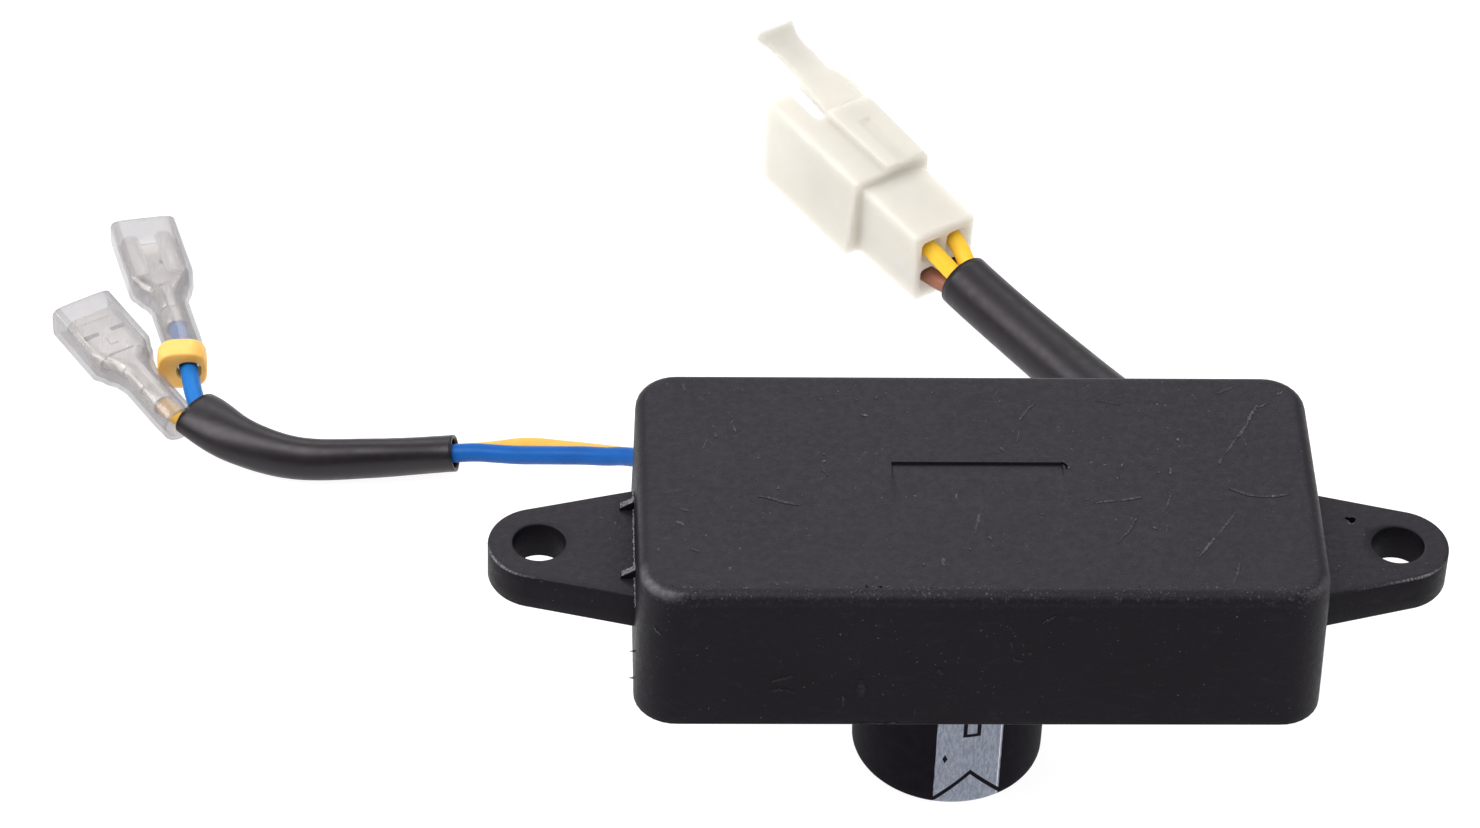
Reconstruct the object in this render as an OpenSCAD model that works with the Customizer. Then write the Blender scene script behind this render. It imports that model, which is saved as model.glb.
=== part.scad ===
// Potted automatic voltage regulator with brush leads and a four-wire harness.
// Millimetres, +Z up. X = 0 and Y = 0 midway between the two ear holes,
// Z = 0 at the capacitor's end, on which the regulator stands.

/* [Housing] */
// Length of the moulded case
body_l = 64.4; // [62:0.1:66]
// Depth of the moulded case
body_w = 31.8; // [31:0.1:33]
// Height of the case from its rim to its top
body_h = 16.2; // [16:0.1:17]
// Radius of the four upright corners
corner_r = 4; // [3.5:0.1:4.5]
// Radius of the top edge
edge_r = 1.4; // [1.2:0.1:2]
// Wall thickness
wall = 1.8; // [1.5:0.1:2]
// Thickness of the closed top
roof_t = 2; // [1.6:0.1:2.2]
// Offset of the case from the midpoint of the holes
body_x = 0.4; // [-0.5:0.1:1]
// Length of the shallow label recess in the top
label_l = 16.6; // [10:0.2:24]
// Depth of the label recess from front to back
label_w = 5.8; // [4:0.2:10]
// How deep the label recess is sunk
label_d = 0.3; // [0.2:0.05:0.5]

/* [Ears] */
// Distance between the two bolt holes
hole_pitch = 82; // [81:0.5:84]
// Diameter of the bolt holes
hole_d = 5.2; // [5:0.1:5.6]
// Thickness of an ear
ear_t = 4.1; // [3.6:0.1:4.6]
// Radius of an ear's tip
ear_tip_r = 4.9; // [4.5:0.1:5.4]
// Half width of an ear at the wall
ear_root = 7.4; // [6.8:0.1:8]
// Depth of an ear's upper face below the case top
ear_drop = 7.8; // [7:0.1:8.4]

/* [Capacitor] */
// Diameter of the capacitor over its sleeve
cap_d = 18.5; // [18:0.1:19]
// Distance the capacitor stands out below the rim
cap_out = 17.6; // [16:0.1:19]
// Film thickness of the sleeve
film_t = 0.25; // [0.2:0.05:0.4]
// Place of the capacitor along the case
cap_x = -0.9; // [-2:0.1:1]

/* [Potting and board] */
// Depth of the potting face inside the rim
pot_recess = 1; // [0.6:0.1:1.6]
// Thickness of the circuit board
board_t = 1.6; // [1.2:0.2:1.6]
// Gap between the board and the roof
board_gap = 2.8; // [2.6:0.1:3]
// Diameter of the component leads
pin_d = 0.8; // [0.6:0.1:0.9]

/* [Leads] */
// Diameter of every insulated wire
wire_d = 1.8; // [1.6:0.05:1.8]
// Larger outer width of the oval brush lead sleeve
lead_sleeve_w = 4.6; // [4.5:0.1:4.6]
// Smaller outer width of the oval brush lead sleeve
lead_sleeve_h = 3.8; // [3.6:0.1:3.8]
// Wall of the brush lead sleeve
lead_sleeve_t = 0.35; // [0.25:0.05:0.35]
// Outer diameter of the harness sleeve
harness_sleeve_d = 6; // [5.8:0.1:6]
// Inner diameter of the harness sleeve
harness_sleeve_bore = 5; // [4.9:0.1:5.2]

/* [Terminals] */
// Length of the yellow lead's boot
boot_l = 18.7; // [18.2:0.1:19.5]
// Extra neck length of the blue lead's boot
boot_extra = 3; // [2.6:0.1:3]
// Width of a boot around the receptacle
boot_w = 7; // [6.9:0.1:7.4]
// Height of a boot around the receptacle
boot_h = 4; // [4:0.1:4.2]
// Diameter of a boot's neck
boot_neck_d = 4.2; // [4.1:0.1:4.2]
// Wall of a boot
boot_t = 0.5; // [0.4:0.05:0.5]
// Width of the spade receptacle
spade_w = 5.6; // [5:0.1:5.7]
// Outer diameter of the marker ring
ring_d = 5.2; // [5.1:0.1:5.2]
// Length of the marker ring
ring_l = 2.8; // [2.6:0.1:3]

/* [Connector] */
// Length of the connector's shroud
shroud_l = 16.6; // [16.2:0.1:17]
// Width of the shroud
shroud_w = 10.2; // [10:0.1:10.4]
// Height of the shroud
shroud_h = 10.2; // [10:0.1:10.4]
// Wall of the shroud
shroud_t = 0.95; // [0.8:0.05:1]
// Length of the rear block behind the shoulder
rear_l = 9.6; // [9.2:0.1:9.8]
// Width of the rear block
rear_w = 7.6; // [7.4:0.1:7.8]
// Height of the rear block
rear_h = 8.6; // [8.4:0.1:8.8]
// Length of the latch tongue from its root
tongue_l = 14; // [12:0.5:16]
// Upward slope of the latch tongue in degrees
tongue_rise = 9; // [5:1:10]
// Offset of the latch tongue to the left of the connector's middle
tongue_y = -1.8; // [-2:0.1:-1]

/* [Hidden] */

rim_z = cap_out;
top_z = rim_z + body_h;
roof_z = top_z - roof_t;
pot_z = rim_z + pot_recess;
board_top = roof_z - board_gap;
board_z = board_top - board_t;
ear_z = top_z - ear_drop - ear_t;
cap_r = cap_d / 2;
hole_x = hole_pitch / 2;

// Centre route of the brush lead pair, from the board to the sleeve's far end
lead_route = [[-21, 0, board_z], [-21, 0, 18.2], [-21.8, 2.6, 14.2], [-23.6, 7.6, 12.8],
  [-26, 16.6, 13], [-29.4, 26, 12.8], [-39, 33.2, 7.8], [-49.8, 38.8, 2.3], [-58, 38.2, 2.3],
  [-66, 38.2, 2.25], [-72, 41, 2.1], [-76.7, 45.3, 1.95]];
// Turn of the yellow wire about the pair's centre at each route point, in degrees
lead_turn = [0, 0, -10, -25, -35, -38, -12, -60, -85, -115, -148, -180];
// Route points past the sleeve
blue_end = [[-76.5, 48.4, 2.3], [-77.2, 51, 2.6], [-78, 55, 2.6], [-78.8, 57.9, 2.55], [-79.5, 60.6, 2.45]];
yellow_end = [[-79.9, 46.75, 2.1], [-81.7, 49.55, 2.1]];
// Centre route of the harness, from the board to the connector
harness_route = [[25, 0, board_z], [25, 0, 18.2], [25.2, 2.8, 13.4], [25.6, 7, 11.2], [26.4, 16, 9.4],
  [26.4, 27, 6.8], [23.4, 38, 3.8], [15.6, 50, 3], [4.4, 64.8, 4.2], [2.1, 68.2, 4.7], [-1.2, 73.4, 4.7]];
// Half spacing of the four harness wires across and up, at each route point
harness_a = [0.95, 0.95, 0.95, 0.95, 0.95, 0.95, 0.95, 0.95, 0.95, 1.6, 1.6];
harness_b = [0.95, 0.95, 0.95, 0.95, 0.95, 0.95, 0.95, 0.95, 0.95, 1.8, 1.8];
lead_half = 0.94;

// Place and heading of the connector's shoulder, and of the two terminals' neck ends
conn_pos = [-3.1, 76.3, 0];
conn_turn = 122.4;
blue_term_pos = [-78.3, 56, 2.6];
blue_term_turn = 105;
blue_term_tilt = 1.7;
yellow_term_pos = [-79.1, 45.5, 2.1];
yellow_term_turn = 122.3;
// Place and heading of the marker ring's near end
ring_pos = [-77.65, 51.3, 2.6];
ring_turn = 93;

// ---- outlines ----
function arc(cx, cy, r, a0, a1, n) = [for (i = [0:n]) let (a = a0 + (a1 - a0) * i / n) [cx + r * cos(a), cy + r * sin(a)]];
function rounded(l, w, r) = concat(
  arc(l / 2 - r, w / 2 - r, r, 0, 90, 8), arc(-l / 2 + r, w / 2 - r, r, 90, 180, 8),
  arc(-l / 2 + r, -w / 2 + r, r, 180, 270, 8), arc(l / 2 - r, -w / 2 + r, r, 270, 360, 8));

// ---- swept tubes ----
function along(p, i) = let (n = len(p) - 1, d = p[min(i + 1, n)] - p[max(i - 1, 0)]) d / norm(d);
function right_of(p, i) = let (t = along(p, i), h = norm([t.x, t.y])) h > 0.05 ? [t.y, -t.x, 0] / h : right_of(p, i + 1);
function up_of(p, i) = cross(right_of(p, i), along(p, i));
function circle_ring(p, i, r, k) = let (n = right_of(p, i), b = up_of(p, i))
  [for (j = [0:k - 1]) p[i] + r * cos(360 * j / k) * n + r * sin(360 * j / k) * b];
function flat(l) = [for (a = l) for (b = a) b];
function side_faces(m, k, o = 0, rev = false) = [for (i = [0:m - 2]) for (j = [0:k - 1])
  let (a = o + i * k + j, b = o + i * k + (j + 1) % k, c = o + (i + 1) * k + (j + 1) % k, d = o + (i + 1) * k + j)
  rev ? [a, d, c, b] : [a, b, c, d]];

// A solid of stacked rings, closed at both ends
module stacked(rings) {
  k = len(rings[0]);
  m = len(rings);
  polyhedron(points = flat(rings), faces = concat(side_faces(m, k),
    [[for (j = [k - 1:-1:0]) j], [for (j = [0:k - 1]) (m - 1) * k + j]]), convexity = 6);
}

// A hollow of stacked rings, open at both ends
module stacked_hollow(outer, inner) {
  k = len(outer[0]);
  m = len(outer);
  o = m * k;
  e = (m - 1) * k;
  polyhedron(points = concat(flat(outer), flat(inner)), faces = concat(side_faces(m, k), side_faces(m, k, o, true),
    [for (j = [0:k - 1]) let (n = (j + 1) % k) [n, j, o + j, o + n]],
    [for (j = [0:k - 1]) let (n = (j + 1) % k) [e + j, e + n, o + e + n, o + e + j]]), convexity = 8);
}

module wire(path) stacked([for (i = [0:len(path) - 1]) circle_ring(path, i, wire_d / 2, 8)]);

function pair_path(side) = [for (i = [0:len(lead_route) - 1])
  lead_route[i] + side * lead_half * (cos(lead_turn[i]) * right_of(lead_route, i) + sin(lead_turn[i]) * up_of(lead_route, i))];
function harness_path(a, b) = [for (i = [0:len(harness_route) - 1])
  harness_route[i] + a * harness_a[i] * right_of(harness_route, i) + b * harness_b[i] * up_of(harness_route, i)];
function part_of(p, i0, i1) = [for (i = [i0:i1]) p[i]];

module sleeve(p, i0, i1, d, bore)
  stacked_hollow([for (i = [i0:i1]) circle_ring(p, i, d / 2, 12)], [for (i = [i0:i1]) circle_ring(p, i, bore / 2, 12)]);

// Oval ring whose long axis follows the turn of the lead pair
function oval_ring(i, w, h) = let (p = lead_route, a = lead_turn[i], n = right_of(p, i), b = up_of(p, i),
  u = cos(a) * n + sin(a) * b, v = cos(a) * b - sin(a) * n)
  [for (j = [0:11]) p[i] + w / 2 * cos(30 * j) * u + h / 2 * sin(30 * j) * v];

// ---- case ----
module body_shell() hull() for (sx = [-1, 1], sy = [-1, 1])
  translate([body_x + sx * (body_l / 2 - corner_r), sy * (body_w / 2 - corner_r), 0]) {
    translate([0, 0, rim_z]) cylinder(r = corner_r, h = body_h - edge_r, $fn = 32);
    translate([0, 0, top_z - edge_r]) rotate_extrude($fn = 32) translate([corner_r - edge_r, 0]) circle(r = edge_r, $fn = 24);
  }

// Outline of one ear, from inside the wall to its round tip
module ear(side) {
  wx = body_l / 2 + side * body_x;
  reach = norm([hole_x - wx, ear_root]);
  lean = acos(ear_tip_r / reach) - atan2(hole_x - wx, ear_root);
  scale([side, 1, 1]) translate([0, 0, ear_z]) difference() {
    linear_extrude(height = ear_t) polygon(concat([[wx - wall / 2, -ear_root], [wx, -ear_root]],
      arc(hole_x, 0, ear_tip_r, -90 + lean, 90 - lean, 28), [[wx, ear_root], [wx - wall / 2, ear_root]]));
    translate([hole_x, 0, -1]) cylinder(d = hole_d, h = ear_t + 2, $fn = 64);
  }
}

// Thin triangular web between the left ear and the wall
module gusset(y) translate([body_x - body_l / 2, y + 0.3, ear_z + ear_t])
  rotate([90, 0, 0]) linear_extrude(height = 0.6) polygon([[-1.5, -0.5], [0.6, -0.5], [0.6, 1.1], [0, 1.1], [-1.5, 0]]);

module cavity(z0, z1) translate([body_x, 0, z0]) linear_extrude(height = z1 - z0)
  polygon(rounded(body_l - 2 * wall, body_w - 2 * wall, corner_r - wall));

module housing() color([0.17, 0.165, 0.18]) difference() {
  union() {
    body_shell();
    ear(1);
    ear(-1);
    gusset(4.9);
    gusset(-4.65);
  }
  cavity(rim_z - 1, roof_z);
  translate([body_x - label_l / 2, -label_w / 2, top_z - label_d]) cube([label_l, label_w, 2]);
}

// ---- inside ----
module pin(x, y, z0) translate([x, y, z0]) cylinder(d = pin_d, h = board_top + 1.6 - z0, $fn = 24);

// Two-lead part lying along X or Y below the board
module axial(x, y, turn, d, l, span) translate([x, y, board_z - d / 2 - 0.2]) rotate([0, 0, turn]) {
  rotate([0, 90, 0]) cylinder(d = d, h = l, center = true, $fn = 32);
  rotate([0, 90, 0]) cylinder(d = pin_d, h = span + pin_d, center = true, $fn = 24);
  for (s = [-1, 1]) translate([s * span / 2, 0, 0]) cylinder(d = pin_d, h = d / 2 + 0.2 + board_t + 1.6, $fn = 24);
}

diode_x = [-27.6, -23.8, -20, -16.2];
resistor_at = [[-22.6, 12], [-10.6, 12], [15.6, 12]];
zener_at = [[-24.2, 9.2], [-15.6, 9.2]];
small_q_at = [[-27.2, -1], [-27.2, 4.6]];

module rectifier_diodes() color([0.1, 0.1, 0.11]) for (x = diode_x) axial(x, -8, 90, 2.7, 5.2, 8.2);
module resistors() color([0.75, 0.66, 0.48]) for (p = resistor_at) axial(p.x, p.y, 0, 2.5, 6.5, 10.2);
module zener_diodes() color([0.8, 0.45, 0.2]) for (p = zener_at) axial(p.x, p.y, 0, 1.9, 3.9, 7.2);

module small_transistor(x, y) {
  translate([x, y, board_z - 5.4]) difference() {
    cylinder(d = 4.6, h = 4.6, $fn = 40);
    translate([1.3, -3, -1]) cube([4, 6, 7]);
  }
  for (s = [-1, 0, 1]) pin(x, y + s * 1.3, board_z - 1);
}
module signal_transistors() color([0.12, 0.12, 0.13]) for (p = small_q_at) small_transistor(p.x, p.y);

module power_transistor() color([0.14, 0.14, 0.15]) {
  translate([13, -13, board_z - 5]) cube([9.2, 10.2, 4.5]);
  difference() {
    translate([21.8, -13, board_z - 5]) cube([6.2, 10.2, 1.3]);
    translate([25, -7.9, board_z - 6]) cylinder(d = 3.6, h = 4, $fn = 40);
  }
  for (s = [-1, 0, 1]) {
    translate([11.2 - pin_d / 2, -7.9 + s * 2.54 - pin_d / 2, board_z - 2.8]) cube([2.4, pin_d, pin_d]);
    pin(11.2, -7.9 + s * 2.54, board_z - 2.6);
  }
}

module small_electrolytic() color([0.12, 0.14, 0.2]) {
  translate([27.6, 10.4, board_z - 7]) cylinder(d = 5, h = 7, $fn = 40);
  for (s = [-1, 1]) pin(27.6 + s, 10.4, board_z - 0.5);
}

module film_capacitor() color([0.65, 0.2, 0.15]) {
  translate([10.6, 5.4, board_z - 7.2]) cube([9.6, 4, 7.2]);
  for (s = [-1, 1]) pin(15.4 + s * 3.75, 7.4, board_z - 0.5);
}

module trimmer() color([0.2, 0.35, 0.6]) {
  translate([-17.8, -2.4, board_z - 3.6]) cube([6.4, 6.4, 3.6]);
  translate([-14.6, 0.8, board_z - 4.2]) cylinder(d = 3.2, h = 1, $fn = 32);
  for (p = [[-16.6, -1.2], [-14.6, 2.8], [-12.6, -1.2]]) pin(p.x, p.y, board_z - 0.5);
}

module capacitor_leads() color([0.75, 0.75, 0.76]) for (s = [-1, 1]) pin(cap_x + s * 3.75, 0, board_z);

// All pins that cross the board
cross_pins = concat(
  [for (x = diode_x) for (s = [-1, 1]) [x, -8 + s * 4.1]],
  [for (p = resistor_at) for (s = [-1, 1]) [p.x + s * 5.1, p.y]],
  [for (p = zener_at) for (s = [-1, 1]) [p.x + s * 3.6, p.y]],
  [for (p = small_q_at) for (s = [-1, 0, 1]) [p.x, p.y + s * 1.3]],
  [for (s = [-1, 0, 1]) [11.2, -7.9 + s * 2.54]],
  [for (s = [-1, 1]) [27.6 + s, 10.4]], [for (s = [-1, 1]) [15.4 + s * 3.75, 7.4]],
  [[-16.6, -1.2], [-14.6, 2.8], [-12.6, -1.2]], [for (s = [-1, 1]) [cap_x + s * 3.75, 0]]);

module board_blank() translate([body_x - 29.4, -13.2, board_z]) cube([58.8, 26.4, board_t]);
module circuit_board() color([0.25, 0.42, 0.22]) difference() {
  board_blank();
  for (p = cross_pins) translate([p.x, p.y, board_z - 1]) cylinder(d = pin_d, h = board_t + 2, $fn = 24);
}

// Profile of the capacitor from its end at Z = 0 up to the board, grown by t
module cap_outline(r, z0, s) polygon([[0, z0], [r - s, z0], [r - 0.3 * s, z0 + 0.3 * s], [r, z0 + s],
  [r, board_z - 5], [r - 0.8, board_z - 4.2], [r - 0.8, board_z - 3.6], [r, board_z - 2.8], [r, board_z], [0, board_z]]);
module capacitor_can() color([0.72, 0.73, 0.75]) translate([cap_x, 0, 0]) rotate_extrude($fn = 96) cap_outline(cap_r - film_t, film_t, 0.6);
module capacitor_sleeve() color([0.09, 0.09, 0.1]) translate([cap_x, 0, 0]) difference() {
  rotate_extrude($fn = 96) cap_outline(cap_r, 0, 0.8);
  rotate_extrude($fn = 96) cap_outline(cap_r - film_t, film_t, 0.6);
  translate([0, 0, -1]) cylinder(r = cap_r - 2.6, h = 2, $fn = 96);
}

module potting_compound() color([0.13, 0.125, 0.13]) difference() {
  cavity(pot_z, roof_z);
  board_blank();
  for (p = cross_pins) translate([p.x, p.y, board_top - 0.2]) cylinder(d = pin_d, h = 1.8, $fn = 24);
  translate([cap_x, 0, 0]) rotate_extrude($fn = 96) cap_outline(cap_r, 0, 0.8);
  rectifier_diodes();
  resistors();
  zener_diodes();
  signal_transistors();
  power_transistor();
  small_electrolytic();
  film_capacitor();
  trimmer();
  blue_wire();
  yellow_wire();
  harness_yellow_wire_left();
  harness_yellow_wire_right();
  harness_brown_wire();
  harness_black_wire();
}

// ---- brush leads ----
module blue_wire() color([0.16, 0.43, 0.8]) wire(concat(pair_path(-1), blue_end));
module yellow_wire() color([0.96, 0.77, 0.22]) wire(concat(pair_path(1), yellow_end));
module brush_lead_sleeve() color([0.2, 0.2, 0.21]) stacked_hollow(
  [for (i = [7:11]) oval_ring(i, lead_sleeve_w, lead_sleeve_h)],
  [for (i = [7:11]) oval_ring(i, lead_sleeve_w - 2 * lead_sleeve_t, lead_sleeve_h - 2 * lead_sleeve_t)]);

module at_blue() translate(blue_term_pos) rotate([0, 0, blue_term_turn]) rotate([0, blue_term_tilt, 0]) children();
module at_yellow() translate(yellow_term_pos) rotate([0, 0, yellow_term_turn]) children();

// Female spade terminal: insulation crimp, wire crimp, neck and rolled receptacle, along +X
module spade_terminal() {
  t = 0.4;
  c = 1.1;
  difference() {
    translate([2.4, 0, 0]) rotate([0, 90, 0]) cylinder(d = 2.7, h = 2.9, $fn = 40);
    translate([2, 0, 0]) rotate([0, 90, 0]) cylinder(d = wire_d + 0.3, h = 2.9, $fn = 40);
  }
  translate([5.2, 0, 0]) rotate([0, 90, 0]) cylinder(d = 2.3, h = 3.8, $fn = 40);
  translate([5, -0.9, -c]) cube([5, 1.8, t]);
  translate([9, 0, -c]) linear_extrude(height = t) polygon([[0, -0.9], [2.2, -spade_w / 2 + c], [2.2, spade_w / 2 - c], [0, 0.9]]);
  translate([11, 0, 0]) rotate([90, 0, 90]) linear_extrude(height = 6.5) {
    translate([-spade_w / 2 + c, -c]) square([spade_w - 2 * c, t]);
    for (s = [-1, 1]) scale([s, 1]) translate([spade_w / 2 - c, 0]) difference() {
      circle(r = c, $fn = 48);
      circle(r = c - t, $fn = 48);
      translate([-2, -c + t]) square([2, 2 * c - 1.7 * t]);
    }
  }
}
module spade_terminal_blue() color([0.78, 0.78, 0.77]) at_blue() spade_terminal();
module spade_terminal_yellow() color([0.78, 0.78, 0.77]) at_yellow() spade_terminal();

// Sections of a boot: place along it, width, height, squareness, offset to the left
boot_body = [[6, boot_neck_d, boot_neck_d, 1, 0], [7.4, 4.8, 4.2, 0.9, 0],
  [9, 6.2, 4.1, 0.7, 0], [10.4, boot_w, boot_h, 0.55, 0]];
yellow_boot = concat([[0, boot_neck_d, boot_neck_d, 1, 0]], boot_body, [[boot_l, boot_w, boot_h, 0.55, 0]]);
blue_boot = concat([[-boot_extra, boot_neck_d, boot_neck_d, 1, 0.25], [0, boot_neck_d, boot_neck_d, 1, 0]],
  boot_body, [[boot_l + 0.8, boot_w, boot_h, 0.55, 0]]);
function boot_ring(s, cut) = [for (j = [0:19]) let (a = 360 * j / 20, c = cos(a), n = sin(a))
  [s[0], s[4] - (s[1] / 2 - cut) * sign(c) * pow(abs(c), s[3]), (s[2] / 2 - cut) * sign(n) * pow(abs(n), s[3])]];
module terminal_boot(sections) stacked_hollow([for (s = sections) boot_ring(s, 0)], [for (s = sections) boot_ring(s, boot_t)]);
module terminal_boot_blue() color([0.86, 0.86, 0.88, 0.5]) at_blue() terminal_boot(blue_boot);
module terminal_boot_yellow() color([0.86, 0.86, 0.88, 0.5]) at_yellow() terminal_boot(yellow_boot);

module marker_ring() color([1, 0.82, 0.48]) translate(ring_pos) rotate([0, 90, ring_turn]) difference() {
  cylinder(d = ring_d, h = ring_l, $fn = 64);
  translate([0, 0, -1]) cylinder(d = boot_neck_d + 0.4, h = ring_l + 2, $fn = 64);
}

// ---- harness and connector ----
module harness_yellow_wire_left() color([0.96, 0.77, 0.22]) wire(harness_path(-1, 1));
module harness_yellow_wire_right() color([0.96, 0.77, 0.22]) wire(harness_path(1, 1));
module harness_brown_wire() color([0.55, 0.35, 0.29]) wire(harness_path(-1, -1));
module harness_black_wire() color([0.1, 0.1, 0.1]) wire(harness_path(1, -1));
module harness_sleeve() color([0.2, 0.2, 0.21]) sleeve(harness_route, 3, 8, harness_sleeve_d, harness_sleeve_bore);

module at_connector() translate(conn_pos) rotate([0, 0, conn_turn]) children();
rear_z = 0.4;
way_y = 1.6;
way_z = [2.9, 6.5];

module connector_housing() color([0.94, 0.93, 0.89]) at_connector() {
  difference() {
    union() {
      translate([0, -shroud_w / 2, 0]) cube([shroud_l, shroud_w, shroud_h]);
      translate([-rear_l, -rear_w / 2, rear_z]) cube([rear_l + 1, rear_w, rear_h]);
      translate([0, tongue_y - 2.9, shroud_h - 0.5]) cube([11, 5.8, 1.6]);
    }
    translate([4, -shroud_w / 2 + shroud_t, shroud_t]) cube([shroud_l, shroud_w - 2 * shroud_t, shroud_h - 2 * shroud_t]);
    for (s = [-1, 1], z = way_z) translate([-rear_l - 1, s * way_y - 1.3, z - 1.5]) cube([rear_l + 6, 2.6, 3]);
    for (s = [-1, 1]) translate([10, tongue_y + s * 2.2 - 0.4, shroud_h - 2]) cube([shroud_l, 0.8, 6]);
    translate([11, tongue_y - 2.5, shroud_h - 2]) cube([shroud_l, 4.5 - tongue_y, 6]);
    translate([-1, tongue_y - 0.8, shroud_h + 0.5]) cube([9, 1.6, 2]);
  }
  translate([10.4, tongue_y, shroud_h - 0.7]) rotate([0, -tongue_rise, 0]) {
    translate([-0.4, -1.8, 0]) cube([tongue_l, 3.6, 1.1]);
    translate([tongue_l - 2, -2.3, 0]) cube([1.6, 4.6, 1.5]);
  }
}

// Crimp, body and blade of one contact, along +X
module contact() {
  difference() {
    translate([-6, 0, 0]) rotate([0, 90, 0]) cylinder(d = 2.5, h = 2.8, $fn = 40);
    translate([-7, 0, 0]) rotate([0, 90, 0]) cylinder(d = wire_d + 0.2, h = 3.6, $fn = 40);
  }
  translate([-3.4, -1.1, -1.5]) cube([7.4, 2.2, 3]);
  translate([3.8, -0.9, -0.3]) cube([6.2, 1.8, 0.6]);
}
module connector_contacts() color([0.8, 0.7, 0.45]) at_connector() for (s = [-1, 1], z = way_z) translate([0, s * way_y, z]) contact();

housing();
potting_compound();
circuit_board();
capacitor_can();
capacitor_sleeve();
capacitor_leads();
rectifier_diodes();
power_transistor();
resistors();
zener_diodes();
signal_transistors();
small_electrolytic();
film_capacitor();
trimmer();
blue_wire();
yellow_wire();
brush_lead_sleeve();
spade_terminal_blue();
spade_terminal_yellow();
terminal_boot_blue();
terminal_boot_yellow();
marker_ring();
harness_yellow_wire_left();
harness_yellow_wire_right();
harness_brown_wire();
harness_black_wire();
harness_sleeve();
connector_housing();
connector_contacts();
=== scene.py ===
import bpy, bmesh, math, random
import numpy as np
from mathutils import Vector, Matrix


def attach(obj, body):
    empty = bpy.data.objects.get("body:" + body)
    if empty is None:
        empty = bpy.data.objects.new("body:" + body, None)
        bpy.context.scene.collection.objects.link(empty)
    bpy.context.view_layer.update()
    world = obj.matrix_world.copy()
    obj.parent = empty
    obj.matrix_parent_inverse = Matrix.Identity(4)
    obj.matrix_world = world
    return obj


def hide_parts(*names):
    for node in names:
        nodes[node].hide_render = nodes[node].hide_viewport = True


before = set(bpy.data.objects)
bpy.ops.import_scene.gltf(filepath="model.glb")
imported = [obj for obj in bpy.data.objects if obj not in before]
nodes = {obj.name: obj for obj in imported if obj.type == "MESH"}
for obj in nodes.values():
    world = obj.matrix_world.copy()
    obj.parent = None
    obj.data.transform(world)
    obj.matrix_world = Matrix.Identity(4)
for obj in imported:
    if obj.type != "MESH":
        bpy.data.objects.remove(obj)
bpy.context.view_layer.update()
scene = bpy.context.scene
MM = 0.001


# ------------------------------------------------------------------ camera
def make_camera():
    th, yaw, roll = (math.radians(a) for a in (41.3737, 3.0374, 2.2186))
    d = Vector((math.sin(yaw) * math.cos(th), math.cos(yaw) * math.cos(th), -math.sin(th)))
    r = Vector((math.cos(yaw), -math.sin(yaw), 0))
    u = r.cross(d)
    r2 = r * math.cos(roll) + u * math.sin(roll)
    u2 = u * math.cos(roll) - r * math.sin(roll)
    data = bpy.data.cameras.new("camera")
    data.sensor_fit = "HORIZONTAL"
    data.sensor_width = 36
    data.lens = 136.69
    data.clip_start, data.clip_end = 0.02, 20
    cam = bpy.data.objects.new("camera", data)
    scene.collection.objects.link(cam)
    m = Matrix((r2, u2, -d)).transposed().to_4x4()
    m.translation = Vector((-43.215, -392.364, 388.422)) * MM
    cam.matrix_world = m
    scene.camera = cam


make_camera()


# ------------------------------------------------------------------ small helpers
def put(obj, *replaced, slot=None):
    if obj.name not in scene.collection.objects:
        scene.collection.objects.link(obj)
    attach(obj, "root")
    if replaced:
        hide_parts(*replaced)
    return obj


def mesh_object(name, verts, faces, mats=(), mat_index=None, smooth=True):
    me = bpy.data.meshes.new(name)
    me.from_pydata([Vector(v) * MM for v in verts], [], faces)
    me.validate()
    for m in mats:
        me.materials.append(m)
    if mat_index is not None and len(mat_index) == len(me.polygons):
        me.polygons.foreach_set("material_index", mat_index)
    if smooth:
        me.polygons.foreach_set("use_smooth", [True] * len(me.polygons))
    me.update()
    o = bpy.data.objects.new(name, me)
    scene.collection.objects.link(o)
    return o


def from_bmesh(name, bm, mats=(), smooth_angle=None):
    me = bpy.data.meshes.new(name)
    bmesh.ops.recalc_face_normals(bm, faces=bm.faces)
    bm.to_mesh(me)
    bm.free()
    me.transform(Matrix.Scale(MM, 4))
    for m in mats:
        me.materials.append(m)
    me.polygons.foreach_set("use_smooth", [True] * len(me.polygons))
    if smooth_angle:
        me.set_sharp_from_angle(angle=math.radians(smooth_angle))
    me.update()
    o = bpy.data.objects.new(name, me)
    scene.collection.objects.link(o)
    return o


def sharpen(o, deg=35):
    o.data.set_sharp_from_angle(angle=math.radians(deg))


def applied(o):
    """Bakes the modifiers of o into its mesh."""
    dg = bpy.context.evaluated_depsgraph_get()
    dg.update()
    me = bpy.data.meshes.new_from_object(o.evaluated_get(dg))
    o.modifiers.clear()
    o.data = me
    return o


def cut(o, tool, op="DIFFERENCE"):
    m = o.modifiers.new("b", "BOOLEAN")
    m.operation = op
    m.solver = "EXACT"
    m.object = tool
    applied(o)
    bpy.data.objects.remove(tool)
    return o


def bevel(o, width, segments=3, angle=40):
    m = o.modifiers.new("bevel", "BEVEL")
    m.width = width * MM
    m.segments = segments
    m.limit_method = "ANGLE"
    m.angle_limit = math.radians(angle)
    m.harden_normals = False
    return o


def weighted(o):
    m = o.modifiers.new("wn", "WEIGHTED_NORMAL")
    m.keep_sharp = True
    return o


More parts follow.
